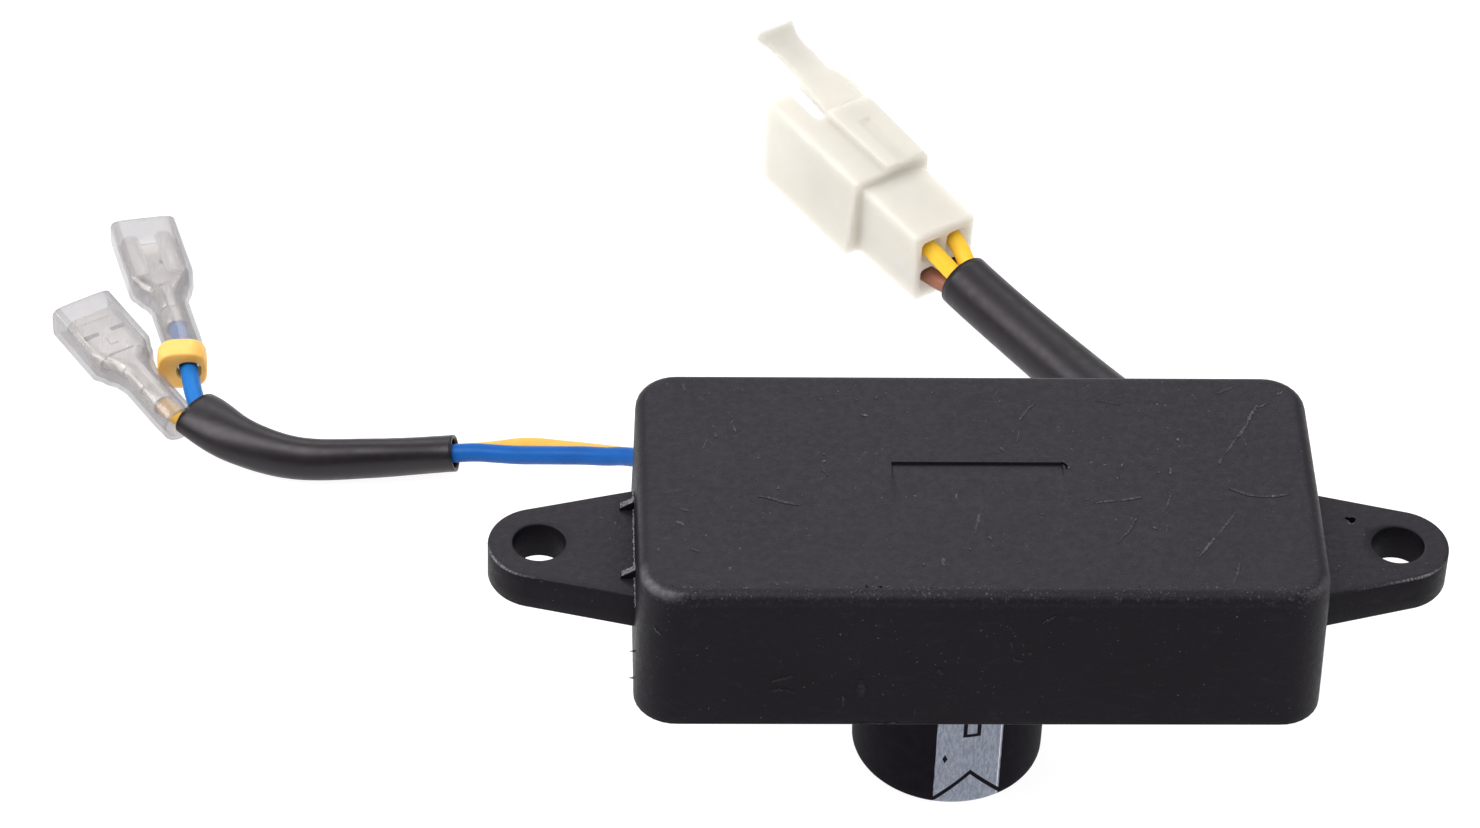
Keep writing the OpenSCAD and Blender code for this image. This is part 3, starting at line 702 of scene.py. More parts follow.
FRONT_MARKS = [
    ([(-11.3, 17.8), (-9.2, 17.76), (-7.3, 17.78)], 0.09, 1.0),
    ([(-7.9, 17.86), (-7.45, 17.8), (-7.2, 17.62)], 0.14, 2.4),
    ([(-30.37, 29.3), (-30.13, 28.99), (-29.76, 28.67)], 0.23, 1.00),
    ([(-19.38, 23.15), (-18.27, 23.54), (-17.16, 23.93)], 0.21, 0.35),
    ([(-19.62, 21.98), (-18.5, 22.11), (-17.09, 21.85)], 0.23, 0.30),
    ([(-12.57, 21.34), (-12.51, 19.9)], 0.19, 0.55),
    ([(-10.98, 23.43), (-10.83, 21.22)], 0.43, 0.40),
    ([(-3.85, 24.87), (-3.43, 24.1)], 0.43, 0.28),
    ([(5.51, 30.56), (6.04, 31.07), (6.74, 31.59)], 0.25, 0.60),
    ([(2.98, 26.44), (3.38, 25.93), (4.14, 25.8)], 0.19, 0.45),
    ([(4.52, 27.09), (4.65, 26.58)], 0.30, 0.45),
    ([(2.76, 28.5), (3.04, 26.96)], 0.19, 0.25),
    ([(-5.76, 20.05), (-5.78, 18.61)], 0.19, 0.25),
]


class Builder:
    """Vertices and faces of one mesh, put together from rings."""

    def __init__(self):
        self.v, self.f, self.m, self.w, self.s = [], [], [], [], []

    def add(self, pts, wear=0.0, scuff_and_sheen=0.0):
        i = len(self.v)
        self.v += [Vector(p) for p in pts]
        self.w += list(wear) if isinstance(wear, (list, tuple)) else [wear] * len(pts)
        self.s += list(scuff_and_sheen) if isinstance(scuff_and_sheen, (list, tuple)) else [scuff_and_sheen] * len(pts)
        return list(range(i, i + len(pts)))

    def face(self, *ids, mat=0):
        self.f.append(ids)
        self.m.append(mat)

    def bridge(self, a, b, closed=True, mat=0):
        n = len(a)
        for i in range(n if closed else n - 1):
            j = (i + 1) % n
            self.face(a[i], a[j], b[j], b[i], mat=mat)

    def object(self, name, mats, sharp=None):
        o = mesh_object(name, self.v, self.f, mats, self.m)
        for key, vals in (("wear", self.w), ("scuff_and_sheen", self.s)):
            at = o.data.attributes.new(key, "FLOAT", "POINT")
            at.data.foreach_set("value", vals)
        bm = bmesh.new()
        bm.from_mesh(o.data)
        bmesh.ops.recalc_face_normals(bm, faces=bm.faces)
        bm.to_mesh(o.data)
        bm.free()
        if sharp:
            sharpen(o, sharp)
        return o


def graded(lo, hi, step, extra=()):
    n = round((hi - lo) / step)
    vals = [lo + (hi - lo) * i / n for i in range(n + 1)]
    vals = [v for v in vals if all(abs(v - e) > step * 0.45 for e in extra)] + list(extra)
    return sorted(vals)


def wobble(x, y, s=1.0):
    """A slow unevenness of moulded walls, in mm."""
    return s * (0.5 * math.sin(0.31 * x + 0.7) * math.sin(0.43 * y + 1.1) + 0.3 * math.sin(0.83 * x - 0.52 * y) + 0.2 * math.sin(1.7 * x + 2.1 * y))


def build_housing():
    b = Builder()
    fx, fy, cr = HX - ER, HY - ER, CR - ER
    rx, ry, rd = RECESS
    e = 0.05
    xs = graded(-fx, fx, 0.5, (-rx - e, -rx + e, rx - e, rx + e))
    inner = graded(-(fy - cr), fy - cr, 0.5, (-ry - e, -ry + e, ry - e, ry + e))
    k = 8
    arc = [math.radians(90 * i / k) for i in range(1, k + 1)]
    ys = [-(fy - cr) - cr * math.sin(a) for a in reversed(arc)] + inner + [fy - cr + cr * math.sin(a) for a in arc]
    ext = [fx - cr + cr * math.cos(a) for a in reversed(arc)] + [fx] * len(inner) + [fx - cr + cr * math.cos(a) for a in arc]
    nrm = [-a for a in reversed(arc)] + [0] * len(inner) + arc
    grid = []
    for y, ex in zip(ys, ext):
        row = []
        for x in xs:
            px = x / fx * ex if abs(y) > fy - cr else x
            z = TOP
            if abs(x) < rx and abs(y) < ry:
                z -= 0.05 + (rd - 0.05) * max(0, 1 - (ry - y) / 2.6) ** 1.5
            else:
                edge = min(fx - abs(x), fy - abs(y))
                z -= 0.02 * smoothstep(0.5, 4, edge) * (1 + wobble(x, y, 0.6))
            row.append((BX + px, y, z))
        grid.append(b.add(row))
    for r0, r1 in zip(grid, grid[1:]):
        for i in range(len(xs) - 1):
            b.face(r0[i], r0[i + 1], r1[i + 1], r1[i])
    # boundary loop with outward normals
    loop, nor = [], []
    for i in range(len(xs)):
        loop.append(grid[0][i]); nor.append((0, -1))
    for j in range(1, len(ys)):
        loop.append(grid[j][-1]); nor.append((math.cos(nrm[j]), math.sin(nrm[j])))
    for i in range(len(xs) - 2, -1, -1):
        loop.append(grid[-1][i]); nor.append((0, 1))
    for j in range(len(ys) - 2, 0, -1):
        loop.append(grid[j][0]); nor.append((-math.cos(nrm[j]), math.sin(nrm[j])))
    base = [b.v[i].copy() for i in loop]

    def ring(off, z, wear=0.0, wav=0.0):
        pts = []
        for p, n in zip(base, nor):
            o = off + (wav * wobble(p.x + p.y, z * 1.3) if wav else 0)
            o += (FLARE[0] * abs(n[0]) + FLARE[1] * abs(n[1])) * draft(z)
            pts.append((p.x + n[0] * o, p.y + n[1] * o, z))
        return b.add(pts, wear)

    prev = loop
    for i in range(1, 9):
        a = math.radians(90 * i / 8)
        w = math.sin(math.pi * min(1, i / 8))
        cur = ring(ER * math.sin(a), TOP - ER * (1 - math.cos(a)), 0.35 + 0.65 * w)
        b.bridge(prev, cur)
        prev = cur
    zs = graded(RIM + 0.2, TOP - ER, 0.8)
    for z in reversed(zs[:-1]):
        cur = ring(ER, z, 0.0, 0.02)
        b.bridge(prev, cur)
        prev = cur
    for i in range(1, 5):
        a = math.radians(90 * i / 4)
        cur = ring(ER - 0.2 * (1 - math.cos(a)), RIM + 0.2 * (1 - math.sin(a)), 0.4)
        b.bridge(prev, cur)
        prev = cur
    for off, z in ((ER - WALL + 0.15, RIM), (ER - WALL, RIM + 0.15), (ER - WALL, RIM + 2), (ER - WALL, CEIL)):
        cur = ring(off, z)
        b.bridge(prev, cur)
        prev = cur
    b.face(*prev)
    # wear weight: strongest at the two front corners of the top edge
    for i, p in enumerate(b.v):
        if b.w[i] > 0 and p.z > TOP - 2.2:
            front = smoothstep(-12.5, -14.6, p.y) if p.y < 0 else 0
            cl = math.exp(-((p.x + 28.6) / 2.6) ** 2)
            crn = math.exp(-((p.x - 29.8) / 2.4) ** 2)
            b.w[i] *= front * (0.34 + 0.9 * cl + 0.75 * crn)
            b.w[i] = min(1, b.w[i])
    ears(b)
    marks(b)
    o = b.object("housing_visual", [case_material(), MAT["pit"]], 40)
    return put(o, "housing", slot="case_plastic")


def top_z(x, y):
    """Height of the top face and its rounded edge over (x, y)."""
    dx, dy = abs(x - BX) - (HX - CR), abs(y) - (HY - CR)
    d = CR - math.hypot(max(dx, 0), max(dy, 0)) if dx > 0 and dy > 0 else min(HX - abs(x - BX), HY - abs(y))
    if d >= ER:
        return TOP
    d = max(d, 0.02)
    return TOP - ER + math.sqrt(ER * ER - (ER - d) ** 2)


def draft(z):
    """0 at the top edge, 1 at the open rim; the walls flare a little towards the rim."""
    return min(1, max(0, (TOP - ER - z) / (TOP - ER - RIM)))


def front_point(x, z, lift):
    d = abs(x - BX) - (HX - CR)
    nx, ny = (0, 1) if d <= 0 else (math.copysign(d / CR, x - BX), math.sqrt(max(0, 1 - (d / CR) ** 2)))
    off = FLARE[0] * abs(nx) * draft(z) + FLARE[1] * ny * draft(z) + lift
    y = -HY if d <= 0 else -(HY - CR) - CR * ny
    return (x + nx * off, y - ny * off, z)


def marks(b):
    """Scratches and specks as thin ragged slivers a few microns proud of the case, faded at their borders."""
    rnd = random.Random(7)

    def sliver(line, width, strength, place, lift):
        line = [Vector((q[0], q[1], 0)) for q in line]
        pts = resample(line, 0.15)
        n = len(pts)
        if n > 14:
            width, strength = width * 1.5, strength * 0.85
        rows = []
        for i, q in enumerate(pts):
            t = (pts[min(i + 1, n - 1)] - pts[max(i - 1, 0)])
            t = t.normalized() if t.length > 1e-9 else Vector((1, 0, 0))
            nrm = Vector((-t.y, t.x, 0))
            tap = math.sin(math.pi * (i + 0.5) / n)
            h = width * (0.45 + 0.55 * tap) * rnd.uniform(0.5, 1.1)
            c = q + nrm * rnd.uniform(-0.05, 0.05)
            st = strength * rnd.uniform(0.25, 1.0) * (0.35 + 0.65 * tap)
            rows.append(b.add([place(c.x + nrm.x * h * k, c.y + nrm.y * h * k, lift) for k in (-1, -0.3, 0.3, 1)], 0.0, [0, st, st, 0]))
        for p, q in zip(rows, rows[1:]):
            b.bridge(p, q, closed=False)

    def speck(x, y, r, strength, place, lift):
        k = rnd.randint(6, 8)
        e, ph = rnd.uniform(0.45, 1.0), rnd.uniform(0, 3.1)
        pts = []
        for i in range(k):
            a = 2 * math.pi * i / k
            u, v = r * rnd.uniform(0.7, 1.2) * math.cos(a), r * e * rnd.uniform(0.7, 1.2) * math.sin(a)
            pts.append(place(x + u * math.cos(ph) - v * math.sin(ph), y + u * math.sin(ph) + v * math.cos(ph), lift))
        rim, mid = b.add(pts), b.add([place(x, y, lift)], 0.0, strength)
        for i in range(k):
            b.face(rim[i], rim[(i + 1) % k], mid[0])

    def on_top(x, y, lift):
        return (x, y, top_z(x, y) + lift)

    def on_front(x, z, lift):
        return front_point(x, z, lift)

    for i, (line, w, st) in enumerate(TOP_MARKS):
        sliver(line, w, st, on_top, 0.006 + 0.002 * (i % 9))
    for line, w, st in FRONT_MARKS:
        sliver(line, w, st * 0.7, on_front, 0.03)
    for i in range(420):
        x, y = rnd.uniform(-29.5, 30.5), rnd.uniform(-14.2, 14.2)
        if abs(x - BX) < 8.8 and abs(y) < 3.4:
            continue
        busy = 0.25 + 0.75 * smoothstep(-4, 12, y) * (0.45 + 0.55 * smoothstep(-20, 20, x))
        if rnd.random() > busy:
            continue
        speck(x, y, rnd.uniform(0.05, 0.13), rnd.uniform(0.2, 0.8), on_top, 0.006)
    # rubbed front edge, in loose clusters
    hubs = [rnd.uniform(-30.5, 31.5) for i in range(26)]
    for i in range(420):
        x = rnd.choice(hubs) + rnd.gauss(0, 0.9) if rnd.random() < 0.7 else rnd.uniform(-30.8, 31.6)
        x = min(31.4, max(-30.6, x))
        d = ER * rnd.uniform(0.25, 1.25)
        y = front_point(x, TOP - ER, 0)[1] + d
        speck(x, y, rnd.uniform(0.06, 0.22), rnd.uniform(0.15, 0.8), on_top, 0.012)
    for i in range(34):
        speck(rnd.uniform(30.9, 32.0), rnd.uniform(-13, -4), rnd.uniform(0.06, 0.12), rnd.uniform(0.2, 0.6), on_top, 0.012)

    def on_ear(x, y, lift):
        return (x, y, 26.0 + lift)

    for x, y, r, st in ((35.0, -3.0, 0.15, 2.0), (34.7, -3.4, 0.1, 1.2), (35.5, -3.3, 0.07, 0.8), (-35.6, 2.2, 0.08, 0.8), (-37.9, -4.2, 0.09, 0.9), (-34.4, -2.6, 0.07, 0.8)):
        speck(x, y, r, st, on_ear, 0.006)
    for i in range(90):
        sg = rnd.choice((-1, 1))
        speck(sg * rnd.uniform(33.2, 37.4), rnd.uniform(-4.6, 4.6), rnd.uniform(0.05, 0.1), rnd.uniform(0.15, 0.5), on_ear, 0.006)
    for i in range(40):
        a, r = math.radians(rnd.uniform(-150, -40)), rnd.uniform(3.4, 4.6)
        speck(-41 + r * math.cos(a), r * math.sin(a), rnd.uniform(0.05, 0.1), rnd.uniform(0.2, 0.6), on_ear, 0.006)
    # painted highlight along the front edges of the ears, drawn as a bright ragged line
    for sg, root, lo, hi, mid, wid in ((1, LEFT_RIGHT[1], -126, -28, -72, 30), (-1, -LEFT_RIGHT[0], -86, 2, -40, 26)):
        rows = []
        for i in range(70):
            deg = lo + (hi - lo) * i / 69
            t = math.radians(deg)
            r = ear_outline(41.0, 4.9, root, 7.4, t, sg)
            st = (0.45 + 1.7 * math.exp(-((deg - mid) / wid) ** 2)) * rnd.uniform(0.45, 1.0) * math.sin(math.pi * (i + 0.5) / 70) ** 0.5
            pts = [(sg * (41 + (r + o) * math.cos(t)), (r + o) * math.sin(t), z) for o, z in ((-0.24, 26.006), (-0.1, 26.006), (-0.01, 25.95), (0.008, 25.8))]
            rows.append(b.add(pts, 0.0, [0, st, st, 0]))
        for p, q in zip(rows, rows[1:]):
            b.bridge(p, q, closed=False)
    # painted highlight on the slanted tops of the gussets, and a ragged flash bead, lighter in colour, where the ear
    # meets the wall
    xl = LEFT_RIGHT[0]
    for y in (4.9, -4.65):
        q = [(xl - 1.42, y - 0.34, 26.27), (xl - 1.42, y + 0.34, 26.27), (xl - 0.1, y + 0.34, 27.09), (xl - 0.1, y - 0.34, 27.09)]
        b.face(*b.add([(u, v, w + 0.012) for u, v, w in q], 0.0, [1.2, 1.2, 1.6, 1.6]))
    rows = []
    for i in range(61):
        y = 7.4 - 16.5 * i / 60
        h = 0.12 + 0.04 * math.sin(i * 1.7) + rnd.uniform(-0.03, 0.03)
        st = rnd.uniform(0.7, 2.6) * (1.0 if y > -7.5 else 0.6)
        w = xl - FLARE[0] * draft(26.1)
        rows.append(b.add([(w + 0.05, y, 26.0), (w - h, y, 26.03), (w - h, y, 26.12), (w + 0.05, y, 26.2)], 0.0, st))
    for p, q in zip(rows, rows[1:]):
        b.bridge(p, q)
    # two small burrs on the left wall
    for y, z in ((-11.6, 22.9), (-12.2, 20.0)):
        w = xl - FLARE[0] * draft(z)
        base = b.add([(w + 0.1, y - 0.14, z - 0.1), (w + 0.1, y + 0.14, z - 0.06), (w + 0.1, y, z + 0.16)], 0.0, 0.8)
        tip = b.add([(w - 0.6, y + 0.05, z - 0.12)], 0.0, 1.0)
        for i in range(3):
            b.face(base[i], base[(i + 1) % 3], tip[0])
    # small tear at the right end of the label recess, a flat near-black patch of painted shade
    hook = [(8.42, 2.98), (8.75, 2.82), (8.98, 2.45), (8.92, 2.05), (8.78, 2.0), (8.8, 2.35), (8.62, 2.6), (8.38, 2.72)]
    b.face(*b.add([(x, y, TOP + 0.012) for x, y in hook]), mat=1)
    speck(9.08, 2.2, 0.14, 1.2, on_top, 0.016)
    # moulding pit on the right ear, a flat near-black patch of painted shade, with a light crescent of painted
    # highlight before it
    pit = [(0.42, 0.12), (0.2, 0.32), (-0.12, 0.26), (-0.42, 0.34), (-0.5, 0.1), (-0.2, -0.06), (-0.1, -0.36), (0.12, -0.42), (0.3, -0.2)]
    b.face(*b.add([(36.87 + 1.15 * x, 3.5 + 1.15 * y, 26.012) for x, y in pit]), mat=1)
    sliver([(36.5, 3.2), (36.65, 2.95), (36.95, 2.9), (37.15, 3.05)], 0.12, 1.3, on_ear, 0.01)


def ear_outline(cx, r, root_x, half, theta, sgn):
    """Distance from the hole's middle to the ear's outline in direction theta, for an ear that points to +X."""
    dx, dy = math.cos(theta), math.sin(theta)
    best = 1e9
    # tip circle, used beyond the tangent points
    dist = math.hypot(cx - root_x, half)
    base = math.atan2(half, -(cx - root_x))
    tang = base - math.acos(r / dist)
    if abs(theta) <= tang:
        return r
    tx, ty = cx + r * math.cos(tang), r * math.sin(tang)
    # straight flank from the tangent point to the root corner
    x1, y1, x2, y2 = tx - cx, ty, root_x - cx, half
    y = abs(dy)
    den = dx * (y2 - y1) - y * (x2 - x1)
    if abs(den) > 1e-9:
        t = (x1 * (y2 - y1) - y1 * (x2 - x1)) / den
        if t > 0:
            best = t
    if dx < 0:
        best = min(best, (root_x - 1.3 - cx) / dx if (root_x - 1.3 - cx) / dx > 0 else best)
    # past the root the outline stays as wide as the root
    if y > 1e-6:
        best = min(best, half / y)
    return best


def ears(b):
    n = 128
    for sgn, root in ((1, LEFT_RIGHT[1]), (-1, -LEFT_RIGHT[0])):
        zt, zb = 26.0, 21.9
        th = [-math.pi + 2 * math.pi * i / n for i in range(n)]
        rad = [ear_outline(41.0, 4.9, root, 7.4, t, sgn) for t in th]

        def ring(f, z, wear=0.0):
            pts, ws = [], []
            for t, r in zip(th, rad):
                q = f(r)
                x, y = 41.0 + q * math.cos(t), q * math.sin(t)
                pts.append((sgn * x, y, z))
                w = wear
                if wear and sgn > 0:
                    w = wear * (0.15 + math.exp(-((math.degrees(t) + 62) / 34) ** 2))
                elif wear:
                    w = wear * (0.15 + 0.8 * math.exp(-((math.degrees(t) + 38) / 34) ** 2))
                ws.append(w)
            return b.add(pts, ws)

        hole = 2.53
        rings = [ring(lambda r: hole + 0.08, zb), ring(lambda r: hole, zb + 0.08), ring(lambda r: hole, zt - 0.1),
                 ring(lambda r: hole + 0.02, zt - 0.03, 0.2), ring(lambda r: hole + 0.06, zt, 0.2)]
        for i in range(1, 8):
            rings.append(ring(lambda r, i=i: hole + 0.06 + (r - 0.2 - hole - 0.06) * i / 7, zt + 0.0))
        rings += [ring(lambda r: r - 0.1, zt - 0.02, 0.5), ring(lambda r: r - 0.03, zt - 0.07, 0.6), ring(lambda r: r, zt - 0.18, 0.4)]
        rings += [ring(lambda r: r, zt - 1.4), ring(lambda r: r, zt - 2.6), ring(lambda r: r, zb + 0.3, 0.2), ring(lambda r: r - 0.1, zb + 0.1, 0.2), ring(lambda r: r - 0.3, zb)]
        rings += [ring(lambda r: (r + hole) / 2, zb)]
        for p, q in zip(rings, rings[1:] + rings[:1]):
            b.bridge(p, q)
    # two small gussets on the left ear
    for y, w in ((4.9, 0.76), (-4.65, 0.76)):
        x0, x1, z0, z1 = LEFT_RIGHT[0] + 0.4, LEFT_RIGHT[0] - 1.5, 25.7, 27.1
        prof = [(x0, z0), (x1 + 0.05, z0), (x1, 26.08), (x1 + 0.1, 26.26), (x0 - 0.5, z1 - 0.02), (x0, z1)]
        a = b.add([(x, y - w / 2, z) for x, z in prof], [0, 0, 0.2, 0.8, 0.9, 0.5])
        c = b.add([(x, y + w / 2, z) for x, z in prof], [0, 0, 0.2, 0.8, 0.9, 0.5])
        b.bridge(a, c)
        b.face(*reversed(a))
        b.face(*c)


housing = build_housing()


# ------------------------------------------------------------------ capacitor
CAPX, CAPR = -0.9, 9.3


def film_material():
    """Black shrink film with the silver polarity band, its bar and its chevrons."""
    g = Graph("capacitor_film")
    c = g.coords()
    x, y, z = g.xyz(c)
    x = g.m("MULTIPLY", g.m("ADD", x, 0.0009), 1000.0)
    y = g.m("MULTIPLY", y, -1000.0)
    z = g.m("MULTIPLY", z, 1000.0)
    s = g.m("MULTIPLY", g.m("ARCTAN2", x, y), CAPR)      # mm along the film, 0 at the front
    n = g.noise(c, 700, 3)
    sl = g.m("ADD", s, g.m("MULTIPLY", g.m("SUBTRACT", n, 0.5), 0.12))
    band = g.m("MULTIPLY", g.step(sl, STRIPE[0] - 0.04, STRIPE[0] + 0.04), g.step(g.m("MULTIPLY", sl, -1.0), -STRIPE[1] - 0.04, -STRIPE[1] + 0.04))

    def line(d, half):
        return g.step(g.m("MULTIPLY", g.m("ABSOLUTE", d), -1.0), -half - 0.04, -half + 0.04)

    # chevron: apex at CHEV, falling to both sides
    zc = g.m("ADD", g.m("MULTIPLY", g.m("ABSOLUTE", g.m("SUBTRACT", s, CHEV[0])), CHEV[2]), z)
    chev = g.m("MAXIMUM", line(g.m("SUBTRACT", zc, CHEV[1]), 0.31), line(g.m("SUBTRACT", zc, CHEV[1] + 16.5), 0.31))
    # bar: outline of a rectangle
    bx = g.m("SUBTRACT", g.m("ABSOLUTE", g.m("SUBTRACT", s, (BAR[0] + BAR[1]) / 2)), (BAR[1] - BAR[0]) / 2)
    bz = g.m("SUBTRACT", g.m("ABSOLUTE", g.m("SUBTRACT", z, BAR[2] + 2.6)), 2.6)
    bar = line(g.m("MAXIMUM", bx, bz), 0.2)
    ink = g.m("MAXIMUM", chev, bar)
    nick = g.m("SUBTRACT", 1.0, g.step(g.m("ADD", g.m("ABSOLUTE", g.m("MULTIPLY", g.m("SUBTRACT", s, NICK[0]), 2.2)), g.m("ABSOLUTE", g.m("SUBTRACT", z, NICK[1]))), 0.5, 0.66))
    ink = g.m("MAXIMUM", ink, nick)
    mott = g.noise(g.mapped(c, (4200, 4200, 1200)), 1.0, 4, 0.75)
    silver = g.mix(g.step(mott, 0.35, 0.68), (0.26, 0.282, 0.352), (0.44, 0.47, 0.565))
    # painted highlight: a thin bright line along the right edge of the silver band
    silver = g.mix(g.m("MULTIPLY", line(g.m("SUBTRACT", sl, STRIPE[1] - 0.2), 0.06), g.step(mott, 0.3, 0.5)), silver, (0.85, 0.88, 0.95))
    on = g.m("MULTIPLY", band, g.m("SUBTRACT", 1.0, ink))
    dark = g.mix(g.step(n, 0.35, 0.65), (0.0088, 0.0072, 0.0108), (0.0115, 0.0096, 0.014))
    g.set(Base_Color=g.mix(on, dark, silver), Roughness=g.ramp(mott, (0.3, 0.5), (0.7, 0.62)))
    g.set(Specular_IOR_Level=0.02)
    g.bump(mott, 0.08, 0.00004)
    return g.mat


STRIPE = (-1.85, 4.78)
BAR = (0.85, 2.2, 9.4)
CHEV = (1.60, 4.45, 1.08)
NICK = (-0.95, 6.25)


def lathe(name, profile, segs, mats, centre=(0, 0), closed=False, mat_of=None):
    """Turns (radius, z) points about a vertical axis."""
    b = Builder()
    rings = []
    for r, z in profile:
        rings.append(b.add([(centre[0] + r * math.cos(2 * math.pi * j / segs), centre[1] + r * math.sin(2 * math.pi * j / segs), z) for j in range(segs)]))
    for i, (p, q) in enumerate(zip(rings, rings[1:])):
        b.bridge(p, q, mat=mat_of(i) if mat_of else 0)
    if closed:
        b.bridge(rings[-1], rings[0])
    else:
        b.face(*reversed(rings[0]))
        b.face(*rings[-1])
    return b.object(name, mats, 45)


def build_capacitor():
    R, t = CAPR, 0.25
    prof = []
    # outer skin from the top, down the side, round the shoulder to the rolled lip, and back inside
    prof.append((R, 27.2))
    for z in (20, 18, 14, 10, 6, 3, 1.4):
        prof.append((R, z))
    for i in range(1, 9):
        a = math.radians(90 * i / 8)
        prof.append((R - 0.8 * (1 - math.cos(a)), 0.8 - 0.8 * math.sin(a)))
    prof += [(7.6, 0.0), (6.9, 0.02), (6.68, 0.1), (6.65, 0.2), (6.75, t)]
    for i in range(0, 7):
        a = math.radians(90 - 90 * i / 6)
        prof.append((R - t - 0.6 * (1 - math.cos(a)), t + 0.6 - 0.6 * math.sin(a)))
    prof += [(R - t, 4), (R - t, 27.2)]
    o = lathe("capacitor_sleeve_visual", prof, 128, [film_material()], (CAPX, 0), closed=True)
    return put(o, "capacitor_sleeve", slot="capacitor_film")


cap_sleeve = build_capacitor()


# ------------------------------------------------------------------ connector
CONN, CHEAD = Vector((-3.1, 76.3, 0)), math.radians(122.4)


def nylon_material():
    g = Graph("connector_nylon")
    c = g.coords()
    n = g.noise(c, 140, 3)
    f = g.noise(c, 1500, 3)
    x, y, z = g.xyz(c)
    body = g.mix(g.step(n, 0.3, 0.7), (0.448, 0.424, 0.376), (0.47, 0.449, 0.402))
    # painted shade: above the roof, on the thin latch arm, the base is darker than on the body, to hold back the light
    # passing through the arm
    thin = g.mix(g.step(n, 0.3, 0.7), (0.282, 0.272, 0.25), (0.296, 0.287, 0.263))
    g.set(Base_Color=g.mix(g.step(z, 0.0108, 0.0122), body, thin), Roughness=g.ramp(f, (0.3, 0.36), (0.7, 0.48)))
    # painted light: the nylon gives off a faint warm glow of its own, standing in for light carried through its
    # translucent walls
    g.set(Specular_IOR_Level=0.12, Subsurface_Weight=1.0, Subsurface_Scale=0.0060, Emission_Color=(1, 0.965, 0.90, 1), Emission_Strength=0.15)
    g.bsdf.inputs["Subsurface Radius"].default_value = (1.0, 0.97, 0.92)
    g.bump(f, 0.1, 0.00005)
    return g.mat


def build_connector():
    ty = -1.8

    def hexa(corners):
        """Solid on two four-cornered ends, each listed the same way round."""
        o = mesh_object("t", corners, [(3, 2, 1, 0), (4, 5, 6, 7), (0, 1, 5, 4), (1, 2, 6, 5), (2, 3, 7, 6), (3, 0, 4, 7)], smooth=False)
        bm = bmesh.new()
        bm.from_mesh(o.data)
        bmesh.ops.recalc_face_normals(bm, faces=bm.faces)
        bm.to_mesh(o.data)
        bm.free()
        return o

    # shroud, a little narrower towards the shoulder and at the top
    body = hexa([(0.4, 5.35, 0), (0.4, -5.3, 0), (-0.3, -4.85, 10.25), (-0.3, 4.78, 10.25), (16.85, 5.3, 0), (16.85, -5.4, 0), (16.85, -5.5, 10.4), (16.85, 5.0, 10.4)])
    body.name = "connector_housing_visual"
    # rear block
    cut(body, hexa([(-10.1, 3.6, 0.3), (-10.1, -3.75, 0.3), (-10.1, -3.95, 9.25), (-10.2, 3.95, 9.25), (1.5, 3.75, 0.25), (1.5, -3.8, 0.25), (1.5, -4.0, 9.35), (1.5, 4.0, 9.35)]), "UNION")
    # rib
    cut(body, hexa([(-0.25, ty + 2.7, 9.6), (-0.25, ty - 2.7, 9.6), (-0.25, ty - 2.5, 10.95), (-0.25, ty + 2.5, 10.95), (11, ty + 2.9, 9.6), (11, ty - 2.9, 9.6), (11, ty - 2.7, 11.15), (11, ty + 2.7, 11.15)]), "UNION")
    cut(body, box_object("t", (4, -4.6, 0.95), (18, 4.3, 9.25)))
    # shallow groove between the two ridges of the rib
    cut(body, hexa([(-1, ty + 0.75, 10.75), (-1, ty - 0.75, 10.75), (-1, ty - 0.95, 12), (-1, ty + 0.95, 12), (7.6, ty + 0.75, 10.85), (7.6, ty - 0.75, 10.85), (8.6, ty - 0.95, 12), (8.6, ty + 0.95, 12)]))
    # slots beside the tongue
    for y0, y1 in ((-4.7, ty - 2.5), (ty + 2.5, 2.0)):
        cut(body, box_object("t", (11.3, y0, 9.0), (18, y1, 12)))
    # the roof is open where the tongue lifts away
    cut(body, box_object("t", (11.4, ty - 2.55, 8.9), (18, ty + 2.55, 12)))
    # four ways from the rear
    for y in (-1.6, 1.6):
        for z in (2.9, 6.5):
            cut(body, box_object("t", (-11.5, y - 1.2, z - 1.35), (5, y + 1.2, z + 1.35)))
    # latch tongue with its T tip
    tip = bmesh.new()
    a = math.radians(8)
    sec = [(-0.6, 2.5, 0.0, 1.1), (6.1, 2.5, 0.0, 1.1), (6.7, 2.0, 0.0, 1.05), (11.6, 1.9, 0.0, 1.0), (13.0, 2.0, 0.0, 1.1), (13.8, 2.25, 0.05, 1.3), (14.7, 2.5, 0.15, 1.5)]
    rows = []
    for x, w, z0, z1 in sec:
        p = []
        for y, z in ((-w, z0), (w, z0), (w, z1), (-w, z1)):
            p.append(tip.verts.new((10.4 + x * math.cos(a) - z * math.sin(a), ty + 0.03 * x + y, 9.5 + x * math.sin(a) + z * math.cos(a))))
        rows.append(p)
    for p, q in zip(rows, rows[1:]):
        for i in range(4):
            tip.faces.new((p[i], p[(i + 1) % 4], q[(i + 1) % 4], q[i]))
    tip.faces.new(rows[0]); tip.faces.new(rows[-1])
    cut(body, from_bmesh("t", tip), "UNION")
    m = body.modifiers.new("r", "REMESH")
    m.mode = "VOXEL"
    m.voxel_size = 0.17 * MM
    m = body.modifiers.new("s", "SMOOTH")
    m.factor = 0.5
    m.iterations = 22
    applied(body)
    me = body.data
    me.materials.clear()
    me.materials.append(nylon_material())
    me.polygons.foreach_set("use_smooth", [True] * len(me.polygons))
    me.transform(Matrix.Translation(CONN * MM) @ Matrix.Rotation(CHEAD, 4, "Z"))
    return put(body, "connector_housing", slot="connector_nylon")


connector = build_connector()


